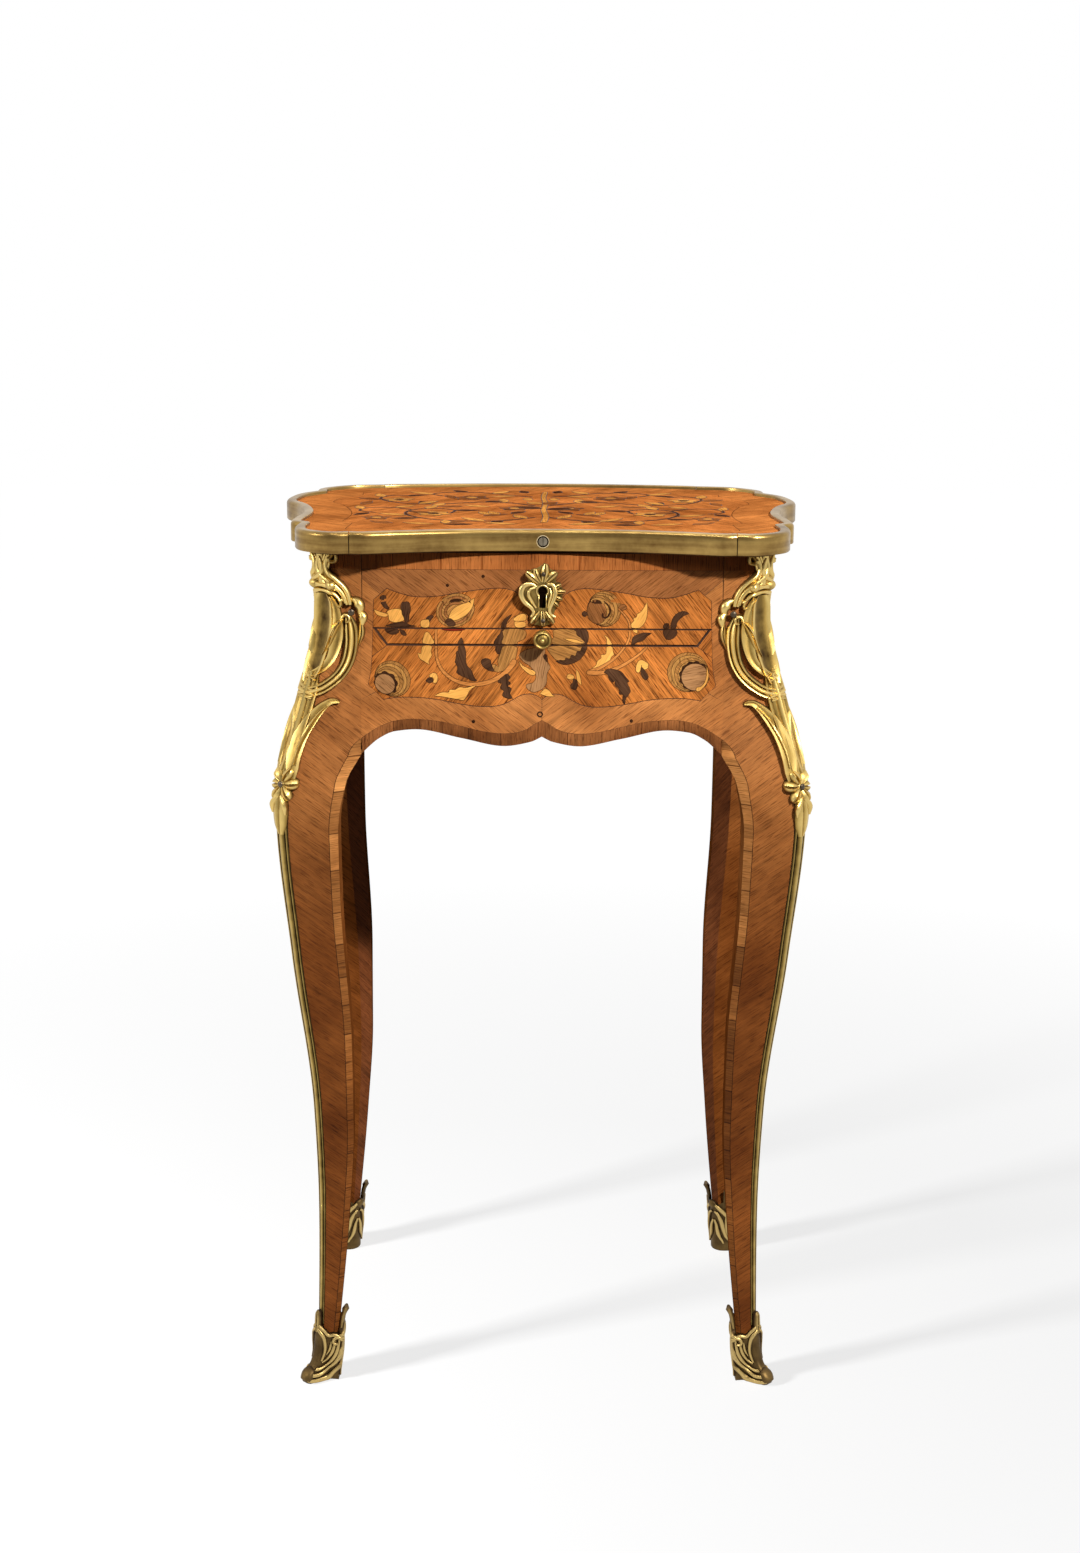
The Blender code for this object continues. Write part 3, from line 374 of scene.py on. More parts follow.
def polished_wood(name, colour, contrast=0.4, streak=(22, 950), figure=(5, 130), blocks=0, pore=0.65,
                  shine=0.08, joint=0.25, painted_shade_heights=None):
    """French-polished veneer whose figure runs along the first axis of the grain map, with painted shade that
    darkens it downwards where heights are given.
    """
    recipe = Recipe(name)
    fine = recipe.grain(*streak, detail=4, rough=0.62)
    broad = recipe.grain(*figure, detail=3, twist=0.7)
    figured = recipe.sums("ADD", recipe.sums("MULTIPLY", fine, 0.55), recipe.sums("MULTIPLY", broad, 0.45))
    low, high = shade(colour, 1 - contrast), shade(colour, 1 + 0.8 * contrast)
    wood = recipe.ramp(figured, [(0.36, low), (0.5, colour), (0.64, high)])
    cloud = recipe.cloud(19, detail=4)
    clouds = recipe.ramp(cloud, [(0.32, (0.66, 0.58, 0.5)), (0.68, (1.22, 1.2, 1.14))])
    wood = recipe.mix(1.0, wood, clouds, "MULTIPLY")
    pores = recipe.ramp(recipe.grain(75, 1350, detail=2), [(0.37, (0.22, 0.14, 0.1)), (0.45, (1, 1, 1))])
    wood = recipe.mix(pore, wood, pores, "MULTIPLY")
    # Painted shade: the colour darkens towards the bottom between the given heights.
    if painted_shade_heights:
        height = recipe.node("SeparateXYZ")
        recipe.join(recipe.node("TexCoord").outputs["Object"], height.inputs[0])
        share = recipe.spread(height.outputs["Z"], *painted_shade_heights, 0.0, 1.0)
        deep = recipe.ramp(share, [(0.0, (0.5, 0.39, 0.29)), (1.0, (1, 1, 1))])
        wood = recipe.mix(1.0, wood, deep, "MULTIPLY")
    if blocks:
        split = recipe.node("SeparateXYZ")
        recipe.join(recipe.grain_map(), split.inputs[0])
        for feature in ("F1", "DISTANCE_TO_EDGE"):
            cells = recipe.node("TexVoronoi", voronoi_dimensions="1D", feature=feature)
            cells.inputs["Scale"].default_value = blocks
            recipe.join(split.outputs["Y"], cells.inputs["W"])
            if feature == "F1":
                stops = [(0.1, (0.55, 0.5, 0.46)), (0.9, (1.18, 1.18, 1.18))]
                tint = recipe.ramp(cells.outputs["Color"], stops)
            else:
                stops = [(0.008, (joint, joint * 0.85, joint * 0.75)), (0.02, (1, 1, 1))]
                tint = recipe.ramp(cells.outputs["Distance"], stops)
            wood = recipe.mix(1.0, wood, tint, "MULTIPLY")
    recipe.bump(fine, 0.1, 0.0002)
    return recipe.done(wood, recipe.spread(fine, 0.3, 0.7, 0.48, 0.34), Specular_IOR_Level=shine)


def plain_wood(name, colour, along):
    """Solid timber of the hidden parts, figured along one axis of the object."""
    recipe = Recipe(name)
    scale = [130.0, 130.0, 130.0]
    scale[along] = 9.0
    figure = recipe.cloud(*scale, detail=4, twist=0.6)
    fine = recipe.cloud(*[value * 7 for value in scale], detail=2)
    wood = recipe.ramp(figure, [(0.3, shade(colour, 0.55)), (0.5, colour), (0.72, shade(colour, 1.3))])
    pores = recipe.ramp(fine, [(0.32, (0.5, 0.45, 0.4)), (0.46, (1, 1, 1))])
    wood = recipe.mix(0.6, wood, pores, "MULTIPLY")
    recipe.bump(fine, 0.15, 0.0003)
    return recipe.done(wood, recipe.spread(figure, 0.3, 0.7, 0.66, 0.5), Specular_IOR_Level=0.12)


def cast_metal(name, dark, middle, bright, rough):
    """Cast and chased metal, dark with patina in its hollows and bright on its crests, partly from wear and
    partly as a painted highlight.
    """
    recipe = Recipe(name)
    cloud = recipe.cloud(90, detail=4)
    tint_level = recipe.sums("ADD", recipe.tone(), recipe.spread(cloud, 0.25, 0.75, -0.14, 0.14))
    colour = recipe.ramp(tint_level, [(0.05, dark), (0.42, middle), (0.86, bright)])
    recipe.bump(recipe.cloud(700, detail=2), 0.1, 0.0003)
    return recipe.done(colour, recipe.spread(tint_level, 0.1, 0.9, rough + 0.14, rough), Metallic=1.0)


def sheet_metal(name, dark, bright, rough, drawn=(60, 60, 60)):
    """Rolled brass or steel with patches of patina and fine rubbing marks."""
    recipe = Recipe(name)
    patch = recipe.cloud(20, detail=5, rough=0.68)
    rub = recipe.cloud(*drawn, detail=3)
    tint_level = recipe.sums("ADD", recipe.sums("MULTIPLY", patch, 0.65), recipe.sums("MULTIPLY", rub, 0.35))
    colour = recipe.ramp(tint_level, [(0.34, dark), (0.64, bright)])
    recipe.bump(rub, 0.06, 0.0003)
    return recipe.done(colour, recipe.spread(tint_level, 0.3, 0.7, rough + 0.16, rough), Metallic=1.0)


def grained_leather(name, colour):
    recipe = Recipe(name)
    pebble = recipe.node("TexVoronoi", feature="DISTANCE_TO_EDGE")
    pebble.inputs["Scale"].default_value = 900.0
    recipe.join(recipe.node("TexCoord").outputs["Object"], pebble.inputs["Vector"])
    scuff = recipe.cloud(34, detail=4)
    hide = recipe.ramp(scuff, [(0.3, shade(colour, 0.55)), (0.55, colour), (0.75, shade(colour, 1.6))])
    recipe.bump(pebble.outputs["Distance"], 0.3, 0.0004)
    return recipe.done(hide, recipe.spread(scuff, 0.3, 0.7, 0.42, 0.6))


KING_FIGURE = {"streak": (34, 1250), "figure": (6, 190)}
LEG_COLOUR = (0.400, 0.155, 0.045)
LEG_PAINTED_SHADE = (0.38, 0.545)   # heights between which the legs' colour darkens downwards: painted shade of the lower legs
KINGWOOD = polished_wood("kingwood", (0.425, 0.163, 0.046), contrast=0.32, **KING_FIGURE)
LEG_WOOD = polished_wood("kingwood_leg", LEG_COLOUR, contrast=0.34, painted_shade_heights=LEG_PAINTED_SHADE, **KING_FIGURE)
LEG_RETURN = polished_wood("kingwood_return", LEG_COLOUR, contrast=0.34, shine=0.0, painted_shade_heights=LEG_PAINTED_SHADE,
                           **KING_FIGURE)
# Darker kingwood for the band under the edge: partly the wood's own tone, partly painted shade of the edge
# above.
UPPER_BAND = polished_wood("kingwood_upper", (0.310, 0.116, 0.036), contrast=0.34, **KING_FIGURE)
TULIPWOOD = polished_wood("tulipwood", (0.425, 0.140, 0.028), contrast=0.66, figure=(5, 150), pore=0.9)
STEM = polished_wood("stem_inlay", (0.500, 0.190, 0.046), contrast=0.25, figure=(5, 150), pore=0.4)
TOP_GROUND = polished_wood("tulipwood_top", (0.490, 0.162, 0.040), contrast=0.50, figure=(5, 90), pore=0.8,
                           shine=0.0)
TOP_BAND = polished_wood("kingwood_top", (0.490, 0.170, 0.043), contrast=0.40, streak=(30, 1100), shine=0.0)
# The legs' crossbanding also darkens downwards: painted shade.
CROSSBAND = polished_wood("crossbanding", (0.560, 0.245, 0.075), contrast=0.40, blocks=34,
                          painted_shade_heights=(0.25, 0.50))
# Darker crossbanding for the apron's canted lower strip, which faces down: painted shade.
APRON_BAND_SHADED = polished_wood("apron_crossband", (0.330, 0.125, 0.040), contrast=0.42, blocks=44, joint=0.35)
LONG_STRIP = polished_wood("upper_crossband", (0.430, 0.145, 0.038), contrast=0.26, blocks=18, joint=0.6)
# Darker copy of the legs' kingwood for their inner chamfer: painted shade of the inside corner.
SHADED_INNER_FACE = polished_wood("kingwood_inside", (0.210, 0.066, 0.022), contrast=0.45, shine=0.04)
YELLOW = polished_wood("box_inlay", (0.700, 0.345, 0.080), contrast=0.24, pore=0.3, shine=0.04)
DARK = polished_wood("stained_inlay", (0.066, 0.030, 0.015), contrast=0.50, shine=0.02)
BROWN = polished_wood("walnut_inlay", (0.270, 0.105, 0.032), contrast=0.60, figure=(3, 300), shine=0.04)
STRIPED = polished_wood("striped_inlay", (0.360, 0.165, 0.045), contrast=0.60, figure=(2, 380), shine=0.04)
OLIVE = polished_wood("olive_inlay", (0.440, 0.215, 0.058), contrast=0.30, figure=(2, 380), shine=0.04)
TRUNK = polished_wood("trunk_inlay", (0.360, 0.182, 0.076), contrast=0.34, figure=(4, 220), shine=0.04)
TOP_YELLOW = polished_wood("box_inlay_top", (0.640, 0.290, 0.064), contrast=0.26, shine=0.0)
TOP_BROWN = polished_wood("walnut_inlay_top", (0.250, 0.088, 0.026), contrast=0.60, shine=0.0)
TOP_DARK = polished_wood("stained_inlay_top", (0.085, 0.034, 0.016), contrast=0.60, shine=0.0)
RED_STAIN = polished_wood("red_stain", (0.180, 0.016, 0.008), contrast=0.40, shine=0.04)
JOINT = polished_wood("dark_joint", (0.040, 0.017, 0.008), contrast=0.4, shine=0.02)
# Near black for painted shadow: behind the keyhole and in the screws' countersinks.
HOLE_SHADOW_BLACK = polished_wood("keyhole_dark", (0.006, 0.003, 0.002), contrast=0.2, shine=0.0)
OAK = plain_wood("oak", (0.36, 0.21, 0.10), 1)
OAK_LONG = plain_wood("oak_long", (0.33, 0.19, 0.09), 0)
# Near-black ground of the slide's body, the rail and the panels' faces under the veneer: painted shadow in
# the gaps round the slide.
GAP_SHADOW_GROUND = plain_wood("stained_ground", (0.060, 0.026, 0.014), 0)
BRASS = sheet_metal("edge_brass", (0.150, 0.080, 0.022), (0.500, 0.325, 0.100), 0.24, (14, 14, 260))
SCREW_STEEL = sheet_metal("screw_steel", (0.160, 0.130, 0.090), (0.440, 0.380, 0.280), 0.36)
# Pale brass ring round each screw's head: a painted highlight on the countersink's rim.
HIGHLIGHT_BRASS = sheet_metal("worn_brass", (0.660, 0.520, 0.300), (0.900, 0.780, 0.520), 0.40)
FILLET_BRASS = cast_metal("fillet_brass", (0.030, 0.018, 0.006), (0.240, 0.155, 0.040),
                          (0.560, 0.395, 0.125), 0.38)
GILT = cast_metal("gilt_bronze", (0.050, 0.026, 0.007), (0.362, 0.233, 0.060), (0.715, 0.512, 0.172), 0.38)
PLATE_GILT = cast_metal("plate_gilt", (0.050, 0.027, 0.007), (0.340, 0.225, 0.064),
                        (0.720, 0.520, 0.190), 0.34)
BRONZE = cast_metal("shoe_bronze", (0.045, 0.026, 0.012), (0.200, 0.125, 0.042),
                    (0.560, 0.400, 0.150), 0.42)
STEEL = sheet_metal("lock_steel", (0.10, 0.09, 0.08), (0.36, 0.34, 0.31), 0.34, (30, 400, 400))
NAIL_STEEL = sheet_metal("nail_steel", (0.040, 0.028, 0.018), (0.140, 0.105, 0.070), 0.34)
LEATHER = grained_leather("writing_leather", (0.150, 0.030, 0.020))


# Workbench: gathers the faces of one piece
class Bench:
    def __init__(self):
        self.points, self.tones, self.faces = [], [], []
        self.marks, self.maps, self.finishes = [], [], []
        self.laid = []

    def add(self, points, faces, finish, maps=None, tones=None):
        """New faces. finish is one material or one for each face, maps a (u, v) for each corner."""
        base = len(self.points)
        self.points += [tuple(p) for p in points]
        self.tones += list(tones) if tones else [0.6] * len(points)
        for i, face in enumerate(faces):
            material = finish[i] if isinstance(finish, list) else finish
            if material not in self.finishes:
                self.finishes.append(material)
            self.faces.append([base + k for k in face])
            self.marks.append(self.finishes.index(material))
            self.maps.append(maps[i] if maps else [(0.0, 0.0)] * len(face))

    def piece(self, name, body, stands_for=(), crease=35):
        mesh = bpy.data.meshes.new(name)
        mesh.from_pydata(self.points, [], self.faces)
        for material in self.finishes:
            mesh.materials.append(material)
        mesh.polygons.foreach_set("material_index", self.marks)
        layer = mesh.uv_layers.new(name="grain")
        layer.data.foreach_set("uv", [v for face in self.maps for corner in face for v in corner])
        tones = mesh.attributes.new("tone", "FLOAT", "POINT")
        tones.data.foreach_set("value", self.tones)
        return set_out(mesh, name, body, stands_for, crease)


def set_out(mesh, name, body, stands_for=(), crease=35):
    """Close up a mesh, turn its faces outwards, and hang it on its body."""
    bm = bmesh.new()
    bm.from_mesh(mesh)
    bmesh.ops.remove_doubles(bm, verts=bm.verts, dist=2e-6)
    bmesh.ops.recalc_face_normals(bm, faces=bm.faces)
    bm.to_mesh(mesh)
    bm.free()
    mesh.shade_smooth()
    mesh.set_sharp_from_angle(angle=math.radians(crease))
    obj = bpy.data.objects.new(name, mesh)
    bpy.context.scene.collection.objects.link(obj)
    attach(obj, body)
    if stands_for:
        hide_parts(*stands_for)
    return obj


def skin(bench, rings, finish, maps=None, tones=None, caps=True):
    """Skin closed rings. finish is one material or one for each side, maps gives the grain of a corner."""
    count = len(rings[0])
    points = [p for ring in rings for p in ring]
    faces, finishes, charts = [], [], []
    for i in range(len(rings) - 1):
        for j in range(count):
            k = (j + 1) % count
            faces.append((i * count + j, i * count + k, (i + 1) * count + k, (i + 1) * count + j))
            finishes.append(finish[j] if isinstance(finish, list) else finish)
            if maps:
                charts.append([maps(i, j, j), maps(i, j + 1, j), maps(i + 1, j + 1, j), maps(i + 1, j, j)])
    if caps:
        for start in (0, (len(rings) - 1) * count):
            faces.append(tuple(range(start, start + count)))
            finishes.append(finish[-1] if isinstance(finish, list) else finish)
            if maps:
                charts.append([(0.0, 0.0)] * count)
    flat_tones = [t for row in tones for t in row] if tones else None
    bench.add(points, faces, finishes, charts if maps else None, flat_tones)


def inside(point, outline):
    hit = False
    for a, b in sides_of(outline):
        if (a.y > point.y) != (b.y > point.y):
            if point.x < a.x + (b.x - a.x) * (point.y - a.y) / (b.y - a.y):
                hit = not hit
    return hit


def lay(bench, outline, place, finish, lift=VENEER_LIFT, turn=0.0, flip=1, thick=VENEER, span=0.006,
        shift=None, tone=0.6):
    """Lay one sheet of veneer, cut to a flat outline, on a surface. turn is its grain, in degrees."""
    edge = []
    for a, b in sides_of(outline):
        count = max(1, math.ceil((b - a).length / span))
        edge += [a.lerp(b, k / count) for k in range(count)]
    low, high = extent(edge)
    inner = []
    for i in range(1, int((high.x - low.x) / (2 * span)) + 1):
        for j in range(1, int((high.y - low.y) / span) + 1):
            point = Vector((low.x + i * 2 * span, low.y + j * span))
            if inside(point, edge):
                inner.append(point)
    count = len(edge)
    rim = [(i, (i + 1) % count) for i in range(count)]
    spots, _, tiles = delaunay_2d_cdt(edge + inner, rim, [], 1, 1e-7)[:3]
    size = len(spots)
    points = [place(p, lift) for p in spots] + [place(p, lift - thick) for p in spots]
    once = {}
    for tile in tiles:
        for a, b in sides_of(tile):
            if (b, a) in once:
                del once[(b, a)]
            else:
                once[(a, b)] = True
    faces = [tuple(tile) for tile in tiles] + [tuple(i + size for i in reversed(tile)) for tile in tiles]
    faces += [(b, a, a + size, b + size) for a, b in once]
    c, s = math.cos(math.radians(turn)), math.sin(math.radians(turn))
    shift = shift or (LUCK.uniform(0, 3), LUCK.uniform(0, 3))
    chart = [(flip * p.x * c + p.y * s + shift[0], -flip * p.x * s + p.y * c + shift[1]) for p in spots]
    maps = [[chart[i % size] for i in face] for face in faces]
    bench.add(points, faces, finish, maps, [tone] * len(points))


def swollen(outline, distance):
    """An outline moved outwards, with blunt tips."""
    area = sum(a.x * b.y - b.x * a.y for a, b in sides_of(outline))
    side = 1 if area > 0 else -1
    moved = []
    for i, point in enumerate(outline):
        before = (point - outline[i - 1]).normalized()
        after = (outline[(i + 1) % len(outline)] - point).normalized()
        out = Vector((before.y + after.y, -before.x - after.x))
        out = out.normalized() if out.length > 0.05 else (before - after).normalized() * side
        moved.append(point + out * side * distance)
    return moved


def inlay(bench, outline, place, wood, turn, flip=1, line=0.00035, span=0.003):
    """An inlaid piece with the dark glue line round it. Later pieces lie over earlier ones."""
    low, high = extent(outline)
    under = [level for a, b, level in bench.laid
             if a.x < high.x and low.x < b.x and a.y < high.y and low.y < b.y]
    level = max(under) + 1 if under else 0
    bench.laid.append((low, high, level))
    lift = INLAY_LIFT + level * LAYER
    lay(bench, swollen(outline, line), place, JOINT, lift - LAYER / 2, turn, flip, span=span)
    lay(bench, outline, place, wood, lift, turn, flip, span=span)


def ellipse(x, z, wide, tall, tilt=0.0, bumps=0, depth=0.0):
    """Points of an ellipse in mm, with a scalloped edge where bumps are asked for."""
    c, s = math.cos(math.radians(tilt)), math.sin(math.radians(tilt))
    count = max(24, 4 * bumps)
    points = []
    for k in range(count):
        angle = 2 * math.pi * k / count
        swell = 1 + depth * math.cos(bumps * angle)
        a, b = wide * swell * math.cos(angle), tall * swell * math.sin(angle)
        points.append((x + a * c - b * s, z + a * s + b * c))
    return points


def leaf(x, z, angle, length, width, hook=0.0):
    """Points of a pointed leaf in mm from its stalk. hook bends it sideways."""
    c, s = math.cos(math.radians(angle)), math.sin(math.radians(angle))
    shape = [(0, 0), (0, 0), (0.25, 0.4), (0.55, 0.46), (0.82, 0.22), (1, 0), (1, 0), (0.8, -0.26),
             (0.5, -0.48), (0.22, -0.36)]
    points = []
    for t, k in shape:
        a, b = t * length, k * width + hook * t * t * length
        points.append((x + a * c - b * s, z + a * s + b * c))
    return points


def ribbon(path, start, stop):
    """Points round a line of changing width, in mm."""
    line = [Vector(p) for p in path]
    sides = ([], [])
    for i, p in enumerate(line):
        ahead = (line[min(i + 1, len(line) - 1)] - line[max(i - 1, 0)]).normalized()
        reach = lerp(start, stop, i / (len(line) - 1)) / 2
        sides[0].append((p.x - ahead.y * reach, p.y + ahead.x * reach))
        sides[1].append((p.x + ahead.y * reach, p.y - ahead.x * reach))
    edge = sides[0] + sides[1][::-1]
    return [edge[0]] + edge + [edge[-1]]


def nested(woods, outer, inner):
    """Pieces set one inside the other, from an outer ellipse to an inner one."""
    last = len(woods) - 1
    return [(wood, 60 + 40 * k, ellipse(*(lerp(a, b, k / last) for a, b in zip(outer, inner))))
            for k, wood in enumerate(woods)]


def outline_mm(points, flip=1, stretch=1.0, steps=3):
    """A smooth closed outline from points in mm, mirrored or stretched. A third number marks a sharp tip."""
    places = [(flip * stretch * x * MM, y * MM) for x, y, *tip in points for _ in range(1 + len(tip))]
    line = curve(places, steps, True)
    return line if flip > 0 else line[::-1]


def sharp_mm(points, flip=1, stretch=1.0):
    line = [Vector((flip * stretch * x * MM, z * MM)) for x, z in points]
    return line if flip > 0 else line[::-1]


# Sections of cast work: (share across, share of the rise), and a tone where the section has its own
def both_halves(half):
    """A section that is given from its middle outwards, with its other half."""
    return [(-across, *rest) for across, *rest in reversed(half) if across] + half


ROUND = both_halves([(0.12, 1), (0.34, 0.86), (0.47, 0.5), (0.5, 0)])
REEDS = both_halves([(0, 1), (0.12, 0.86), (0.2, 0.42), (0.3, 0.82), (0.4, 0.86), (0.48, 0.62), (0.5, 0)])
LEAF = both_halves([(0.04, 0.55), (0.12, 0.95), (0.3, 0.78), (0.46, 0.42), (0.5, 0)])
WING = [(-0.5, 0), (-0.49, 0.55), (-0.42, 0.92), (-0.34, 0.86), (-0.12, 0.6), (0.12, 0.62), (0.34, 0.88),
        (0.42, 0.98), (0.49, 0.6), (0.5, 0)]
CREST = both_halves([(0, 0.52), (0.03, 0.84), (0.1, 0.98), (0.18, 0.86), (0.24, 0.52), (0.28, 0.86),
                     (0.38, 0.94), (0.48, 0.7), (0.5, 0)])
SHIELD = both_halves([(0.14, 0.34), (0.28, 0.52), (0.38, 0.9), (0.45, 1), (0.49, 0.75), (0.5, 0)])
TONGUE = both_halves([(0, 1), (0.04, 0.86), (0.1, 0.52), (0.2, 0.72), (0.3, 0.42), (0.4, 0.7),
                      (0.45, 0.8), (0.49, 0.55), (0.5, 0)])
GROOVED = both_halves([(0.07, 1, 0.75), (0.2, 0.8, 0.35), (0.28, 0.48, 0.1), (0.31, 0.06, -0.2),
                       (0.36, 0.06, -0.2), (0.39, 0.5, 0.35), (0.44, 0.6, 0.75), (0.49, 0.52, 0.35),
                       (0.53, 0.28, 0.0), (0.53, 0, 0)])


def keyed(values):
    """Keys along a path. Plain numbers are spaced evenly from its start to its end."""
    if isinstance(values[0], tuple):
        return values
    return [(k / (len(values) - 1), value) for k, value in enumerate(values)]


def strap(bench, path, width, rise, section, place, finish, sink=0.0006, steps=4, crest_wear_and_glint=1.7):
    """Cast work along a path of flat places, in metres. width and rise are keys along it, in mm."""
    line = curve(path, steps)
    lengths = [0.0]
    for a, b in zip(line, line[1:]):
        lengths.append(lengths[-1] + (b - a).length)
    wide, high = eased(keyed(width)), eased(keyed(rise))
    rings, tones = [], []
    for i, point in enumerate(line):
        t = lengths[i] / lengths[-1]
        ahead = (line[min(i + 1, len(line) - 1)] - line[max(i - 1, 0)]).normalized()
        across = Vector((-ahead.y, ahead.x))
        w, h = wide(t) * MM, high(t) * MM
        row = [place(point - across * 0.5 * w, -sink)]
        row += [place(point + across * a * w, h * k) for a, k in section]
        row.append(place(point + across * 0.5 * w, -sink))
        rings.append(row)
        # Tone rises to the crest: patina in the hollows, and on the crest partly wear, partly a painted
        # highlight.
        tones.append([0.0] + [k ** crest_wear_and_glint for _, k in section] + [0.0])
    skin(bench, rings, finish, tones=tones)


def bead(bench, centre, radius, rise, place, finish, squash=1.0, tint_level=0.9):
    """A round boss on a surface."""
    rings, tones = [], []
    for k in range(7):
        angle = math.pi / 2 * k / 6.3
        r = radius * MM * math.cos(angle)
        ring = []
        for turn in turns(16):
            spot = Vector((centre[0] + r * math.cos(turn), centre[1] + squash * r * math.sin(turn)))
            ring.append(place(spot, rise * MM * math.sin(angle) - (0.0006 if k == 0 else 0)))
        rings.append(ring)
        # Brighter towards the top of the boss: partly wear, partly a painted highlight.
        tones.append([k / 6 * tint_level] * 16)
    skin(bench, rings, finish, tones=tones)


# Legs: the heights where the spacing of the rows changes, and the rows from each to the next
LEG_ROWS = [(CASE_TOP, 2), (0.669, 14), (CANT_TOP, 16), (0.5, 56), (LEG_BASE, 0)]


def leg_piece(end, side):
    sign_x, sign_y = signs(end, side)
    levels = [lerp(high, low, k / count) for (high, count), (low, _) in zip(LEG_ROWS, LEG_ROWS[1:])
              for k in range(count)] + [LEG_BASE]
    rings, rows = [], []
    for z in levels:
        out, fore, chamfer = arris_out(z), arris_fore(z), arris_chamfer(z)
        near_out, near_fore, strip = inner_out(z), inner_fore(z), leg_strip(z)
        cant = CANT_DEPTH * min(1.0, strip / 0.0078)
        line = JOINT_LINE * min(1.0, strip / 0.004)
        flush = max(fore, PANEL_FORE) if end == "front" and z > FLUSH_Z else fore
        ring = [(near_out, flush - cant), (near_out + strip, flush), (near_out + strip + line, flush),
                (out - chamfer, fore), (out, fore - chamfer), (out, near_fore + strip + line),
                (out, near_fore + strip), (out - cant, near_fore),
                (near_out + INNER_CHAMFER * (out - near_out), near_fore),
                (near_out, near_fore + INNER_CHAMFER * (fore - near_fore))]
        rows.append((z, ring))
        rings.append([Vector((sign_x * o, sign_y * f, z)) for o, f in ring])
    c, s = math.cos(math.radians(BAND_GRAIN)), math.sin(math.radians(BAND_GRAIN))
    luck = LUCK.uniform(0, 3)

    def maps(row, column, zone):
        z, ring = rows[row]
        o, f = ring[column % len(ring)]
        if zone in (0, 6):
            return ((o if zone == 0 else f), z + luck)
        if zone in (2, 4):
            along = o if zone == 2 else f
            if rows[min(row, len(rows) - 2)][0] > STRIP_FOOT:
                return (z, along + luck)
            return (along * c + z * s, -along * s + z * c)
        along = o - f
        return (along * c + z * s + luck, -along * s + z * c)

    bench = Bench()
    finish = [CROSSBAND, JOINT, LEG_WOOD, JOINT, LEG_WOOD, JOINT, CROSSBAND, LEG_RETURN, SHADED_INNER_FACE,
              LEG_RETURN]
    skin(bench, rings, finish, maps)
    for face, edge in ((0, STILE_INNER + 0.0005), (1, SIDE_SEAM + 0.0005)):
        def on_leg(p, lift, face=face):
            out, fore = arris_out(p[1]), arris_fore(p[1])
            if face == 0 and end == "front":
                flat = out - arris_chamfer(p[1])
                share = (flat - p[0]) / (flat - STILE_INNER)
                fore = lerp(fore, max(fore, PANEL_FORE), share)
            spot = (p[0], fore + lift) if face == 0 else (out + lift, p[0])
            return Vector((sign_x * spot[0], sign_y * spot[1], p[1]))
        far = (arris_out if face == 0 else arris_fore)(0.675) - arris_chamfer(0.675) - 0.0004
        flip = sign_x * -sign_y if face == 0 else sign_x * sign_y
        strip = [(edge, STRIP_FOOT), (far, STRIP_FOOT), (far, STRIP_TOP), (edge, STRIP_TOP)]
        lay(bench, [Vector(q) for q in strip], on_leg, LONG_STRIP, turn=90, flip=flip)
    tag = end + "_" + side
    bench.piece("leg_veneer_" + tag, "carcass", ["leg_" + tag], crease=28)


for end, side in CORNERS:
    leg_piece(end, side)


# Panels between the legs, with their canted lower strip
def panel_piece(name, node, half, place, top, levels=30, columns=80):
    bench = Bench()
    rings, rows = [], []
    for k in range(columns + 1):
        x = lerp(-half, half, k / columns)
        share = abs(x) / half
        low, strip, high = apron_edge(share), strip_edge(share), top(abs(x))
        spots = [(low, -CANT_DEPTH)] + [(lerp(strip, high, i / levels), 0.0) for i in range(levels + 1)]
        spots += [(high, -PANEL_THICK), (low, -PANEL_THICK)]
        rows.append((x, spots))
        rings.append([place((x, z), lift) for z, lift in spots])

    def maps(row, column, zone):
        x, spots = rows[row]
        z, lift = spots[column % len(spots)]
        return (z + lift, x)

    finish = [APRON_BAND_SHADED] + [GAP_SHADOW_GROUND] * (levels + 1) + [OAK_LONG, APRON_BAND_SHADED]
    skin(bench, rings, finish, maps)
    bench.piece(name, "carcass", [node])


def slide_notch(x):
    if x <= SLIDE_HALF_BASE:
        return SLIDE_BASE - GAP
    rise = (x - SLIDE_HALF_BASE) / (SLIDE_HALF_TOP - SLIDE_HALF_BASE)
    return lerp(SLIDE_BASE, SLIDE_TOP, min(1.0, rise)) - GAP


FRONT_HALF = STILE_INNER - GAP
SIDE_HALF = SIDE_SEAM - GAP
panel_piece("apron_front", "front_apron", FRONT_HALF, on_front, slide_notch)
panel_piece("case_back", "back_panel", FRONT_HALF, on_back, lambda x: CASE_TOP)
for side, sign in (("left", -1), ("right", 1)):
    panel_piece("case_side_" + side, "side_panel_" + side, SIDE_HALF, on_side(sign), lambda x: CASE_TOP)

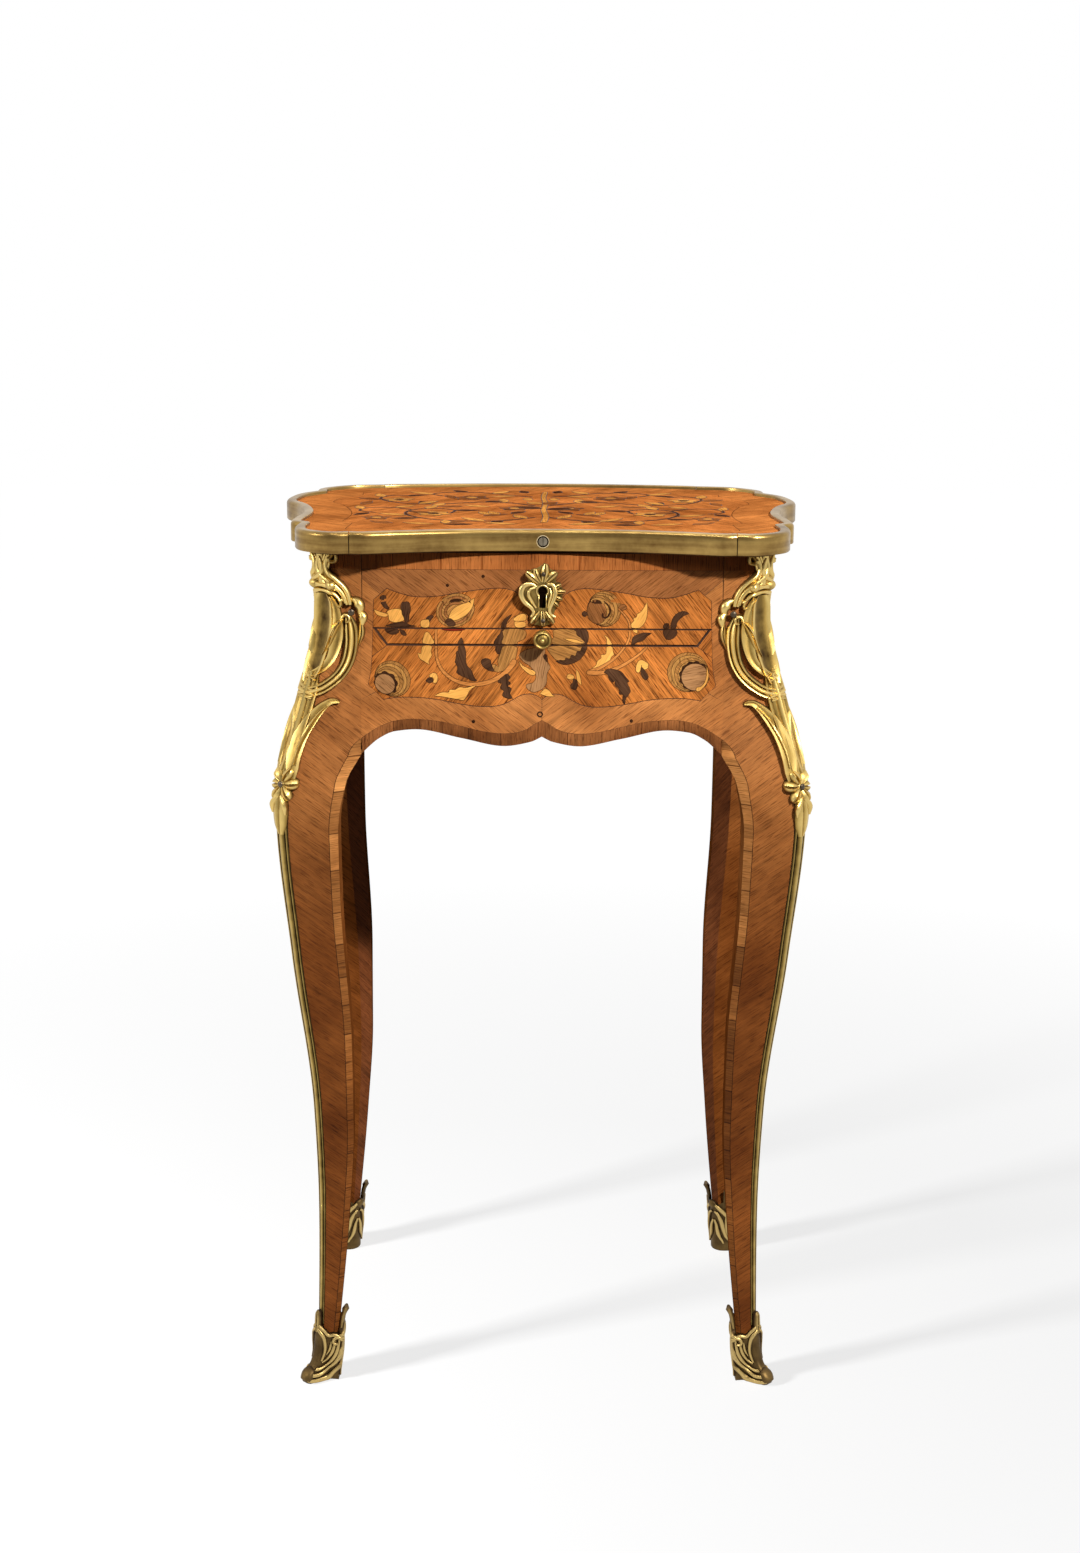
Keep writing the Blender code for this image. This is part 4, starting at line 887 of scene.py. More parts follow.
# Veneer layout of a panel, right half, in mm: edges of the framed field, and where its sheets end
TOP_WAVE = [(11, 644), (18, 651), (26, 654.3), (36, 655), (50, 653.5), (65, 651.3), (77, 649), (90, 648),
    (100, 648.7), (110, 651.5), (118, 654.5)]
FOOT_WAVE = [(120.5, 571), (110, 572.6), (95, 572.6), (80, 571.2), (70, 569.3), (55, 566.8), (42, 566),
    (32, 567), (24, 570.2), (16, 574.6), (9, 575.6), (3, 573.8), (0.15, 571.5)]
HALF = 136.4                # ends of the upper sheets
REACH = 136.7               # end of the canted strip
OVER = 137.6                # the bands run over the joint with the leg
MID = 0.15                  # half of the joint in the middle
SIDE_FOOT = [(126.6, 576.8), (132.2, 582.2), (130.2, 592)]
FIELD_SIDE = [(126.4, 576.9), (131.8, 582.3), (129.8, 592)]
SIDE_HEAD = [(HALF, 661.6), (HALF, 645), (OVER, 644.8)]


def shifted(points, rise):
    return [(p.x / MM, p.y / MM + rise) for p in curve(in_metres(points), 3)]


def strip_line():
    places = [REACH * k / 24 for k in range(25)]
    return [(max(x, MID), strip_edge(x / REACH) / MM + 0.25) for x in places]


def frame_panel(bench, half, place, slide):
    stretch = half / FRONT_HALF
    foot, top = STRIP_FOOT / MM, STRIP_TOP / MM
    lay(bench, sharp_mm([(-HALF, foot), (HALF, foot), (HALF, top), (-HALF, top)], 1, stretch), place,
        LONG_STRIP, turn=90)
    upper, lower = shifted(TOP_WAVE, 0.3), shifted(FOOT_WAVE, -0.3)
    field_top, field_foot = shifted(TOP_WAVE, -0.3), shifted(FOOT_WAVE, 0.3)
    band, field = (KINGWOOD, BAND_GRAIN, (0, 0)), (TULIPWOOD, FIELD_GRAIN, None)
    low_field = [(MID, 571.8)] + field_foot[::-1] + FIELD_SIDE
    sheets = [
        (UPPER_BAND, 38, None, [(MID, 668.9), (HALF, 668.9), (HALF, 662), (122.9, 650.5)] + upper[::-1]
         + [(MID, 641.5)]),
        (*band, [(OVER, 570.6), (126.3, 576.5), (120.6, 570.8)] + lower + strip_line() + [(OVER, 542.4)]),
    ]
    if slide:
        sheets += [
            (*band, SIDE_HEAD + [(OVER, 625.2), (128.6, 625.2), (128.2, 646), (123.2, 650.2)]),
            (*field, [(MID, 641)] + field_top + [(122.7, 650), (127.8, 646), (128.2, 625.2), (MID, 625.2)]),
            (*band, [(OVER, 625.1), (OVER, 570.7)] + SIDE_FOOT + [(129.3, 603), (128.7, 625.1)]),
            (TULIPWOOD, 52, None, [(129.0, 603.6), (128.4, 624.1), (127.9, 624.1), (118.2, 611.5)]),
            (*field, low_field + [(128.9, 603.2), (117.8, 611.3), (MID, 611.3)]),
        ]
    else:
        sheets += [
            (*band, SIDE_HEAD + [(OVER, 570.7)] + SIDE_FOOT + [(128.8, 612), (128.2, 646), (123.2, 650.2)]),
            (*field, low_field + [(128.5, 612), (127.8, 646), (122.7, 650)] + field_top[::-1] + [(MID, 641)]),
        ]
    for finish, turn, shift, outline in sheets:
        for flip in (1, -1):
            lay(bench, sharp_mm(outline, flip, stretch), place, finish, turn=turn, flip=flip, shift=shift)


# Marquetry of the front, in mm: (wood, grain, outline). A third number marks a sharp tip.
SPECKS = [(-45, 664), (-72, 657), (-52, 555), (68, 556)]
FRONT_INLAYS = [
    (DARK, 80, [(-123, 647), (-121, 649), (-118.5, 648), (-118.5, 643), (-116, 639), (-119, 639.5),
     (-122, 643)]),
    (DARK, 80, [(-107, 642), (-104.5, 645), (-101, 643.5), (-100, 639), (-101, 635), (-101.5, 630),
     (-104, 629), (-104.5, 633), (-107, 637)]),
    (YELLOW, 20, [(-127.5, 638.5, 1), (-124, 637), (-119, 635.5), (-117, 634.5), (-119, 633), (-124, 634),
     (-126.5, 636)]),
    (YELLOW, 60, [(-117.5, 637), (-113, 638.8), (-107.5, 638.5), (-106.5, 635), (-104.8, 631),
     (-108, 629.5), (-112, 629), (-116, 630.5), (-116.5, 634)]),
    (DARK, 10, [(-119, 626, 1), (-115, 627.5), (-108, 629), (-104, 629), (-101, 627), (-95, 626, 1),
     (-107, 625.6)]),
    (DARK, 60, [(-88, 632), (-85, 634), (-82.5, 633.5), (-84.5, 631), (-86, 629)]),
    (YELLOW, 40, [(-92, 630), (-88, 631), (-86, 630.5), (-86, 625.6), (-91.5, 625.6)]),
    (YELLOW, 70, [(-90, 611.2), (-84, 611.2), (-84.5, 607), (-83.8, 604), (-86, 600.5), (-85.8, 597.3, 1),
     (-89, 599.5), (-92.5, 601.5), (-94.5, 606, 1), (-92, 605.5), (-91.5, 609)]),
    *nested([STRIPED, BROWN, STRIPED, BROWN, STRIPED], (-66, 638.2, 14.6, 12.2, 22),
     (-66.5, 637.6, 6.0, 4.6, 22)),
    (YELLOW, 35, [(-71.5, 630.5, 1), (-69, 637.5), (-63.5, 641.8), (-57, 644), (-51.8, 647.2, 1),
     (-53, 641), (-57, 635.5), (-62, 632.2), (-67, 630.6)]),
    (DARK, 20, [(-73.5, 630), (-70.5, 632), (-67.5, 630.2), (-66, 627), (-71, 626.6)]),
    (STEM, 40, [(-28, 625.8), (-26, 629), (-22, 633), (-15, 635.8), (-11.5, 635.5), (-11, 630),
     (-13, 625.8)]),
    (YELLOW, 60, [(-22, 631), (-18, 635), (-13, 635.5), (-12.5, 631.5), (-16, 630.5)]),
    (YELLOW, 20, [(-21, 629.8), (-16, 629.8), (-12.8, 629), (-13.5, 626), (-20, 625.8)]),
    (DARK, 70, [(-31.5, 625.8, 1), (-29, 631), (-23, 635.6, 1), (-27, 629.5), (-28, 625.8)]),
    (DARK, 80, [(-34.8, 611.2), (-30.4, 611.2), (-31, 608), (-33, 605.5), (-35.3, 608)]),
    (STRIPED, 70, [(-29.5, 611.2), (-20, 611.2), (-19.5, 606), (-22, 599), (-27, 594.5), (-33, 592),
     (-37, 593.5), (-38.5, 596.5), (-36, 597.5), (-33, 596), (-33.5, 601), (-31.5, 606)]),
    (DARK, 30, [(-46, 600.5), (-43, 602), (-39.5, 601), (-38.8, 597.5), (-37, 594), (-36.5, 592.5, 1),
     (-41, 593.5), (-45, 596.5)]),
    (DARK, 110, [(-63, 611.2), (-59.5, 611.2), (-58, 606), (-58.2, 601), (-57, 596.5), (-53.5, 592.5),
     (-52, 588), (-49.5, 585.5, 1), (-53, 585.3), (-57, 587.5), (-62, 589.5), (-65, 591.5, 1), (-64, 595),
     (-66, 599.5, 1), (-65, 604), (-65.2, 606.5), (-63.8, 608)]),
    (STEM, 10, ribbon([(-80.5, 611.2), (-80, 602), (-76.5, 594), (-70, 587.8), (-62, 584), (-52, 582.6),
     (-42, 584), (-33, 588), (-26, 593.5), (-21, 600.5)], 1.6, 3.6)),
    (YELLOW, 15, [(-81.5, 574, 1), (-76, 576.5), (-71, 576.5), (-70, 578.5), (-66, 578.5), (-62.5, 580.5),
     (-58, 580), (-50, 582, 1), (-55, 578), (-57.5, 573.5), (-60, 570.8), (-64, 571.5), (-70, 572.5),
     (-76, 573.5)]),
    (DARK, 100, [(-29, 589), (-26.5, 590.5), (-24.5, 588), (-26, 585.5), (-24, 583.5), (-26.5, 581.5),
     (-23.5, 579.5), (-24.5, 576), (-22.5, 572.5, 1), (-26, 572.5), (-30, 574.5), (-28.8, 578),
     (-31.5, 580), (-30.5, 583.5), (-33.5, 584.5), (-31.5, 587)]),
    (TRUNK, 80, [(-17.5, 604.5), (-13.5, 608), (-8, 609.6), (-2.5, 611), (2, 609), (1.6, 603), (4.5, 598.6),
     (6, 595.4), (3.6, 591), (3.4, 585), (1.4, 580.6), (-2, 578.4), (-6.5, 577), (-11, 579.6),
     (-11.6, 582.6), (-7, 584), (-4.6, 587.6), (-5.4, 592), (-9.6, 597), (-14, 600)]),
    (YELLOW, 140, [(-17.5, 600, 1), (-15, 597), (-10, 594.5), (-5.5, 592.5), (-5.8, 589.8), (-9.5, 590.5),
     (-13.5, 593.5), (-16.5, 597)]),
    (YELLOW, 60, [(-85.5, 589.5), (-83, 591), (-80.5, 590.5), (-79.2, 587), (-80.5, 583.8), (-82.5, 584),
     (-82.5, 587.5), (-85, 588)]),
    (DARK, 20, [(-88, 585.5), (-85.5, 587.5), (-82.8, 586.5), (-83.2, 584.5), (-86, 583.8)]),
    *nested([STRIPED, OLIVE, STRIPED, OLIVE], (-113.5, 586.6, 14.2, 12.4, -42),
     (-117.5, 584.2, 9.6, 9.0, -42)),
    (JOINT, 0, ellipse(-118.5, 583.4, 8.9, 7.6, -42, 8, 0.07)),
    (TRUNK, 140, ellipse(-119.3, 582.7, 7.9, 6.8, -42)),
    *nested([STRIPED, OLIVE, STRIPED, OLIVE], (47, 639.8, 12.4, 13.2, 20), (43, 638.2, 8.8, 10.2, 20)),
    (BROWN, 120, ellipse(41.2, 637.6, 7.2, 9.0, 12)),
    (JOINT, 0, ribbon([(46.5, 645.5), (50, 642), (51.2, 637.5), (49, 633.5), (46, 633.6), (45.6, 636)], 0.5,
     0.9)),
    (DARK, 0, [(30, 636), (32, 638), (34, 636), (32, 634)]),
    (BROWN, 30, [(57.5, 640.5), (60, 642.8), (63, 642.5), (63.5, 640), (60.5, 639)]),
    (YELLOW, 60, [(68, 625.7, 1), (67, 628), (69.5, 631), (69, 632.5), (71.5, 634), (71.8, 636), (74, 637),
     (77, 641), (79.3, 645.3, 1), (79.5, 640), (79, 634), (77, 629), (73.5, 625.7)]),
    (DARK, 60, [(97.5, 625.7), (101, 625.7), (102, 630), (104.5, 633), (107.5, 635.2), (111, 636.5, 1),
     (108, 638), (104, 637.5), (100, 634.5), (98, 630)]),
    (DARK, 60, [(92, 625.7), (92.5, 628.5), (95.5, 628.8), (96, 625.7)]),
    (YELLOW, 60, [(49, 611.2), (53, 611.2), (53.5, 608), (54.5, 605.5, 1), (52, 603), (51, 599.5),
     (46, 597.5), (40, 594.5), (36, 592.2, 1), (37, 594), (41, 597.5), (42, 600.5), (45, 603), (44.8, 605),
     (48.5, 606)]),
    (STEM, 20, ribbon([(57.5, 640), (62, 635.5), (65.5, 630.5), (66.5, 625.7)], 1.0, 1.4)),
    (STEM, 30, ribbon([(62.5, 611.2), (57, 604.5), (50, 599), (43, 595), (36, 592.6)], 1.4, 2.4)),
    (STEM, 30, ribbon([(79.5, 611.2), (72, 604.5), (63, 598.5), (54, 594.3), (45, 591.8), (35, 592)], 1.4,
     3.0)),
    (DARK, 130, [(47, 592, 1), (50, 594.5), (55, 594.2), (60, 592.5), (63.5, 588.5), (66, 585.5),
     (64.5, 584.5), (67, 579), (66, 576), (63.5, 572.5), (63, 568.2, 1), (61.5, 570.5), (61.5, 575.5),
     (59, 576), (58.5, 580), (55.5, 583), (56, 586), (53.5, 585), (51, 587.5), (50, 590.5)]),
    (YELLOW, 20, [(73, 600.5), (75.5, 601.5), (78, 600.5), (80.5, 598.5), (80, 595.5), (77.5, 594.5),
     (76, 595.5), (75.5, 598), (74, 592.5), (71.5, 593), (71.5, 597)]),
    (DARK, 120, [(75.5, 596), (78, 593.5), (80.5, 589.5), (79.5, 586.8), (77, 588), (75.2, 591.5)]),
    (YELLOW, 20, [(18.5, 588, 1), (20, 590.5), (23, 590), (24.5, 588.2), (22, 586.5)]),
    (YELLOW, 110, [(26, 594, 1), (28, 591.5), (29.5, 586), (29.8, 582.5, 1), (27, 585.5), (26, 590)]),
    (DARK, 70, [(24, 587), (26, 586), (27, 582.5), (25.5, 579.3), (22.5, 580), (21.8, 582.5), (23.5, 584)]),
    *nested([STRIPED, OLIVE, STRIPED, OLIVE], (110.8, 592.6, 15.4, 14.6, 0), (114.6, 590.2, 11.2, 11.0, 0)),
    (JOINT, 0, ellipse(115.6, 589.6, 11.0, 10.8, 20, 12, 0.05)),
    (TRUNK, 10, ellipse(116.2, 589, 10.2, 10.0)),
    (YELLOW, 80, [(125, 597, 1), (126.5, 591), (125.5, 585.5), (122.5, 581), (118.5, 578.2), (117, 580),
     (118.5, 581.2), (121, 581.9), (123.8, 585.5), (125, 590.5)]),
    (STRIPED, 160, [(5, 611.2), (30, 611.2), (28, 607.5), (24, 604), (18, 601.5), (12, 601), (8, 604)]),
    (DARK, 150, [(30.5, 611.2), (33.8, 611.2), (32, 606), (28, 601.5), (22, 598.5), (16, 598),
     (10.5, 600.3, 1), (14, 601), (17.5, 600.5), (18, 602.8), (21, 602), (22.5, 605), (25.5, 604),
     (26.5, 607.5), (29, 608)]),
    (DARK, 80, [(1, 603.5), (3, 600.5), (4, 600), (3.5, 604), (2, 605.5)]),
    (YELLOW, 20, [(-1.5, 576, 1), (2, 579.5), (5, 578.5), (8, 575), (9.5, 574, 1), (4, 574)]),
    *((JOINT, 0, [(x - 1, z), (x, z + 1), (x + 1, z), (x, z - 1)]) for x, z in SPECKS),
    (JOINT, 0, ellipse(-1.5, 560.5, 2.0, 1.9)),
    (KINGWOOD, 36, ellipse(-1.5, 560.5, 1.2, 1.1)),
]
SLIDE_INLAYS = [
    (DARK, 20, [(-119, 623.6), (-110, 623.6), (-109, 621.5), (-112, 620), (-116, 620.5)]),
    (DARK, 20, [(-108, 623.4), (-105, 622.5), (-103, 619.5), (-106, 619.5)]),
    (YELLOW, 70, [(-88.5, 621.5), (-86, 621), (-83.5, 617), (-82.3, 613.3), (-90.3, 613.3), (-90, 618)]),
    (DARK, 80, [(-30.5, 623.8), (-28.8, 623.8), (-29.6, 618.5), (-30.8, 613.3), (-36.5, 613.3), (-35, 617),
     (-32, 621)]),
    (STRIPED, 70, [(-29, 623.8), (-14, 623.8), (-13, 618), (-19, 614.5), (-19.5, 613.3), (-30.3, 613.3),
     (-29.3, 618.5)]),
    (STEM, 80, ribbon([(-80.5, 623.8), (-80.7, 618), (-80.5, 613.3)], 1.2, 1.6)),
    (RED_STAIN, 0, [(-76, 623.9), (-70, 622.9), (-63, 623.0), (-59, 623.9)]),
    (RED_STAIN, 0, [(10, 623.9), (13, 622.4), (17.5, 622.2), (20, 623.9)]),
    (DARK, 60, [(-64, 613.3), (-60, 613.3), (-61, 617), (-62, 617)]),
    (YELLOW, 30, [(68.5, 623.8), (72, 623.8), (71.5, 621.5)]),
    (DARK, 60, [(92, 623.8), (101.5, 623.8), (101, 619.5), (97, 617.2), (93.5, 618)]),
    (DARK, 30, [(69, 618.5), (67.8, 613.3), (69.5, 613.3), (72, 615), (76, 616), (79.5, 619.5),
     (82.5, 621.7, 1), (77, 621.8), (72.5, 620.5)]),
    (STEM, 110, ribbon([(66.5, 623.8), (66, 618), (64, 613.3)], 1.4, 1.4)),
    (YELLOW, 120, [(47, 620, 1), (50, 618), (52.5, 614), (52.8, 613.3), (49, 613.3), (49, 616.5)]),
    (DARK, 110, [(24.5, 623.8), (33, 623.8), (35, 619), (33.5, 613.3), (31, 613.3), (30.5, 617),
     (27, 620)]),
    (STRIPED, 160, [(9, 623.8), (24, 623.8), (26, 620), (30, 617), (30.5, 613.3), (8, 613.3), (9, 619)]),
    (YELLOW, 170, [(16, 617.5, 1), (24, 616.8), (31.5, 614.2, 1), (24, 614.5)]),
]

front = Bench()
frame_panel(front, FRONT_HALF, on_front, True)
for wood, turn, outline in FRONT_INLAYS:
    inlay(front, outline_mm(outline), on_front, wood, turn)
front.piece("front_marquetry", "carcass", crease=20)

# The back and sides carry the same framed field with a quieter spray
SPRAY = [
    (STEM, 90, [(-1.2, 574), (1.2, 574), (1.8, 600), (1.2, 634), (-1.2, 634), (-1.8, 600)]),
    (DARK, 60, [(2, 590, 1), (12, 600), (26, 603), (38, 598, 1), (28, 594), (16, 591)]),
    (YELLOW, 120, [(2, 604, 1), (8, 614), (19, 620), (31, 621, 1), (24, 613), (13, 607)]),
    (STEM, 30, [(2, 582, 1), (20, 586), (42, 584), (64, 590), (80, 602, 1), (62, 594), (42, 588),
     (20, 590)]),
    (DARK, 100, [(44, 586, 1), (52, 580), (63, 579), (74, 584, 1), (62, 587)]),
    (YELLOW, 30, [(58, 594, 1), (58, 602), (64, 610), (74, 613, 1), (70, 604)]),
    (STRIPED, 60, [(78, 603), (84, 611), (93, 614), (101, 610), (103, 601), (98, 593), (89, 591),
     (81, 595)]),
    (BROWN, 120, [(84, 602), (90, 607), (96, 603), (94, 597), (88, 596)]),
    (BROWN, 40, [(-12, 634), (0, 646), (12, 634), (8, 625), (0, 622), (-8, 625)]),
    (YELLOW, 90, [(-5, 634), (0, 641), (5, 634), (0, 627)]),
    (DARK, 20, [(40, 634, 1), (52, 642), (66, 641), (78, 633, 1), (64, 633), (52, 631)]),
    (YELLOW, 150, [(84, 630, 1), (94, 638), (108, 640, 1), (102, 631), (94, 627)]),
]


def spray_panel(name, half, place):
    bench = Bench()
    frame_panel(bench, half, place, False)
    stretch = half / FRONT_HALF
    for wood, turn, outline in SPRAY:
        for flip in (1, -1):
            if flip < 0 and min(point[0] for point in outline) < 0:
                continue
            inlay(bench, outline_mm(outline, flip, stretch), place, wood, turn, flip)
    bench.piece(name, "carcass", crease=20)


spray_panel("back_marquetry", FRONT_HALF, on_back)
for side, sign in (("left", -1), ("right", 1)):
    spray_panel("side_marquetry_" + side, SIDE_HALF, on_side(sign))


# Writing slide: lipping with its veneer, leather and knob. The knob's turned profile runs from its seat as
# (share of the length, share of the radius, tone).
KNOB_PROFILE = [(0.0, 0.6, 0.3), (0.12, 0.6, 0.4), (0.16, 0.4, 0.3), (0.28, 0.38, 0.3),
    (0.36, 0.62, 0.4), (0.5, 0.92, 0.5), (0.62, 0.99, 0.6), (0.72, 1.0, 0.6), (0.8, 0.96, 0.6),
    (0.86, 0.87, 0.6), (0.88, 0.77, 0.6), (0.86, 0.67, 0.3), (0.84, 0.58, 0.2), (0.86, 0.46, 0.4),
    (0.9, 0.34, 0.5), (0.925, 0.28, 0.3), (0.95, 0.24, 0.6), (0.98, 0.14, 0.7), (0.985, 0.05, 0.7)]


def slide_pieces():
    bench = Bench()
    back = -PANEL_FORE + PANEL_THICK
    ease = 0.0006
    rings = []
    for z, half, fore in ((SLIDE_BASE, SLIDE_HALF_BASE, ease),
                          (SLIDE_BASE + ease, SLIDE_HALF_BASE + 0.0005, 0),
                          (SLIDE_TOP - ease, SLIDE_HALF_TOP - 0.0005, 0),
                          (SLIDE_TOP, SLIDE_HALF_TOP, ease)):
        half -= GAP
        front_y = -arris_fore(z) + fore
        rings.append([(-half, front_y, z), (half, front_y, z), (half, back, z), (-half, back, z)])
    # The slide's body is near black: painted shadow in the gaps round it.
    skin(bench, rings, GAP_SHADOW_GROUND)
    for flip in (1, -1):
        lay(bench, sharp_mm([(0.1, 613.15), (117.3, 613.15), (125.4, 623.9), (0.1, 623.9)], flip), on_front,
            TULIPWOOD, turn=FIELD_GRAIN, flip=flip)
    for wood, turn, outline in SLIDE_INLAYS:
        inlay(bench, outline_mm(outline), on_front, wood, turn)
    bench.piece("slide_lipping", "slide", ["slide_front"], crease=25)

    low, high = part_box("slide_leather")
    hide = Bench()
    bevel = 0.0003
    rings = []
    for i, z in ((0, low[2]), (0, high[2] - bevel), (bevel, high[2])):
        rings.append([(low[0] + i, low[1] + i, z), (high[0] - i, low[1] + i, z),
                      (high[0] - i, high[1] - i, z), (low[0] + i, high[1] - i, z)])
    skin(hide, rings, LEATHER)
    leather = hide.piece("leather_skiver", "slide", ["slide_leather"])

    tooling = Bench()

    def on_hide(p, lift):
        return Vector((p[0], p[1], high[2] + lift))

    for margin, width in ((0.007, 1.3), (0.01, 0.6)):
        a, b = Vector((low[0] + margin, low[1] + margin)), Vector((high[0] - margin, high[1] - margin))
        ends = [a, Vector((b.x, a.y)), b, Vector((a.x, b.y))]
        for start, stop in sides_of(ends):
            strap(tooling, [start, start.lerp(stop, 0.5), stop], (width, width), (0.08, 0.08),
                  ROUND, on_hide, GILT, sink=0.0002)
    tooling.piece("leather_tooling", "slide")

    low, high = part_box("slide_knob")
    axis = ((low[0] + high[0]) / 2, (low[2] + high[2]) / 2)
    depth, ball = high[1] - low[1], (high[0] - low[0]) / 2
    seat = high[1] - 0.0022
    rings, tones = [], []
    for t, r, tone in KNOB_PROFILE:
        y = seat - t * (depth - 0.0022)
        rings.append([(axis[0] + r * ball * math.cos(a), y, axis[1] + r * ball * math.sin(a))
                      for a in turns(32)])
        tones.append([tone] * 32)
    knob = Bench()
    skin(knob, rings, FILLET_BRASS, tones=tones)
    knob.piece("pull_knob", "slide", ["slide_knob"], crease=50)


slide_pieces()

# Brass edge round the top, in four lengths
right_front = curve(FRONT_RUN, 8)
right_back = curve(BACK_RUN, 8)
right_side = curve(FRONT_LOBE, 8)[:-1] + curve(SIDE_RUN, 8)[:-1] + curve(BACK_LOBE, 8)


def mirrored(line):
    return [Vector((-p.x, p.y)) for p in reversed(line)]


RUNS = {
    "front": mirrored(right_front)[:-1] + right_front,
    "right": right_side,
    "back": right_back[:-1] + mirrored(right_back),
    "left": mirrored(right_side),
}
OUTLINE = [point for run in RUNS.values() for point in run[:-1]]
NOSING = 0.003
RIM_LIFT = 0.0019
RIM_SEAM = 0.0007
# Rings round a screw's head: (past its radius, rise). The dark ring is painted shadow in the countersink, the
# pale one a painted highlight on its rim.
COLLARS = ((HOLE_SHADOW_BLACK, ((-0.0009, -0.0002), (-0.0008, 0.0002), (0.0002, 0.0002))),
           (HIGHLIGHT_BRASS, ((0.0001, 0.0001), (0.0002, 0.0005), (0.0006, 0.0005), (0.0009, -0.0004))))


def rim_pieces():
    foot = LID_BASE + RIM_LIFT
    profile = [(0.0005, foot), (0.0, foot + 0.0006), (0.0, RIM_TOP - NOSING)]
    for k in range(1, 6):
        angle = math.pi / 2 * k / 5
        profile.append((NOSING * (1 - math.cos(angle)), RIM_TOP - NOSING * (1 - math.sin(angle))))
    profile += [(RIM_WIDTH - 0.0012, RIM_TOP), (RIM_WIDTH - 0.0003, RIM_TOP - 0.0004),
                (RIM_WIDTH, RIM_TOP - 0.0012), (RIM_WIDTH, foot)]
    loops = [inset(OUTLINE, depth) for depth, _ in profile]
    start = 0
    for name, run in RUNS.items():
        count = len(run)
        rings = []
        for i in range(count):
            k = (start + i) % len(OUTLINE)
            rings.append([Vector((loop[k].x, loop[k].y, z)) for loop, (_, z) in zip(loops, profile)])
        for ring, other in ((rings[0], rings[1]), (rings[-1], rings[-2])):
            for p, q in zip(ring, other):
                p += (q - p).normalized() * RIM_SEAM / 2
        start += count - 1
        bench = Bench()
        skin(bench, rings, BRASS)
        rim = bench.piece("brass_edge_" + name, "lid", ["rim_" + name], crease=40)
        sink_screw(rim, "rim_screw_" + name)


def sink_screw(rim, node):
    """Cut the countersink for the screw that holds this length of brass."""
    low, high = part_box(node)
    middle = (Vector(low) + Vector(high)) / 2
    size = Vector(high) - Vector(low)
    across = max(size.z, 0.008) / 2 + 0.0002
    if size.y > size.x:
        outward = Vector((0, math.copysign(1, middle.y), 0))
    else:
        outward = Vector((math.copysign(1, middle.x), 0, 0))
    face = middle + outward * max(size.x, size.y) / 2
    bm = bmesh.new()
    bmesh.ops.create_cone(bm, cap_ends=True, segments=32, radius1=across, radius2=across, depth=0.006)
    turn = outward.to_track_quat("Z", "Y").to_matrix().to_4x4()
    bmesh.ops.transform(bm, matrix=Matrix.Translation(face) @ turn, verts=bm.verts)
    mesh = bpy.data.meshes.new("countersink")
    bm.to_mesh(mesh)
    bm.free()
    tool = bpy.data.objects.new("countersink", mesh)
    bpy.context.scene.collection.objects.link(tool)
    modifier = rim.modifiers.new("countersink", "BOOLEAN")
    modifier.object = tool
    modifier.solver = "EXACT"
    graph = bpy.context.evaluated_depsgraph_get()
    cut = bpy.data.meshes.new_from_object(rim.evaluated_get(graph))
    rim.modifiers.clear()
    rim.data = cut
    cut.name = rim.name
    bpy.data.objects.remove(tool)
    side = Vector((0, 0, 1)).cross(outward)
    collar = Bench()
    for metal, steps in COLLARS:
        rings = []
        for radius, rise in steps:
            spokes = [side * math.cos(a) + Vector((0, 0, math.sin(a))) for a in turns(40)]
            rings.append([face + outward * rise + spoke * (across + radius) for spoke in spokes])
        skin(collar, rings, metal, caps=False)
    collar.piece("screw_collar_" + node.split("_")[-1], "lid", crease=60)


rim_pieces()


# Marquetry of the top, in mm: (wood, grain, outline), laid on both halves
def flower(x, y, size, petals, petal, heart):
    pieces = []
    for k in range(petals):
        angle = 360 * k / petals + 18
        pieces.append((petal, angle, leaf(x, y, angle, size, size * 0.78)))
    return pieces + [(heart, 0, ellipse(x, y, size * 0.3, size * 0.3))]


TOP_INLAYS = [
    (TOP_DARK, 0, ribbon([(6, -46), (30, -66), (62, -70), (92, -56), (108, -30), (104, -4), (86, 6),
     (70, -4), (72, -20)], 2.4, 1.2)),
    (TOP_DARK, 0, ribbon([(6, 26), (26, 44), (52, 48), (78, 36), (102, 34), (124, 48), (134, 72), (124, 90),
     (108, 86)], 2.4, 1.2)),
    (TOP_DARK, 0, ribbon([(8, 84), (28, 96), (50, 112), (76, 114), (92, 102), (84, 90)], 2.0, 1.2)),
    (TOP_DARK, 0, ribbon([(104, -4), (120, 10), (140, 8), (146, -10), (134, -20)], 1.6, 1.0)),
]
for bloom in ((22, 8, 13, 5, TOP_BROWN, TOP_YELLOW), (86, -26, 14, 6, TOP_YELLOW, TOP_DARK),
              (58, 76, 15, 6, TOP_BROWN, TOP_YELLOW), (118, 62, 13, 5, TOP_YELLOW, TOP_DARK),
              (130, -52, 12, 5, TOP_BROWN, TOP_YELLOW)):
    TOP_INLAYS += flower(*bloom)
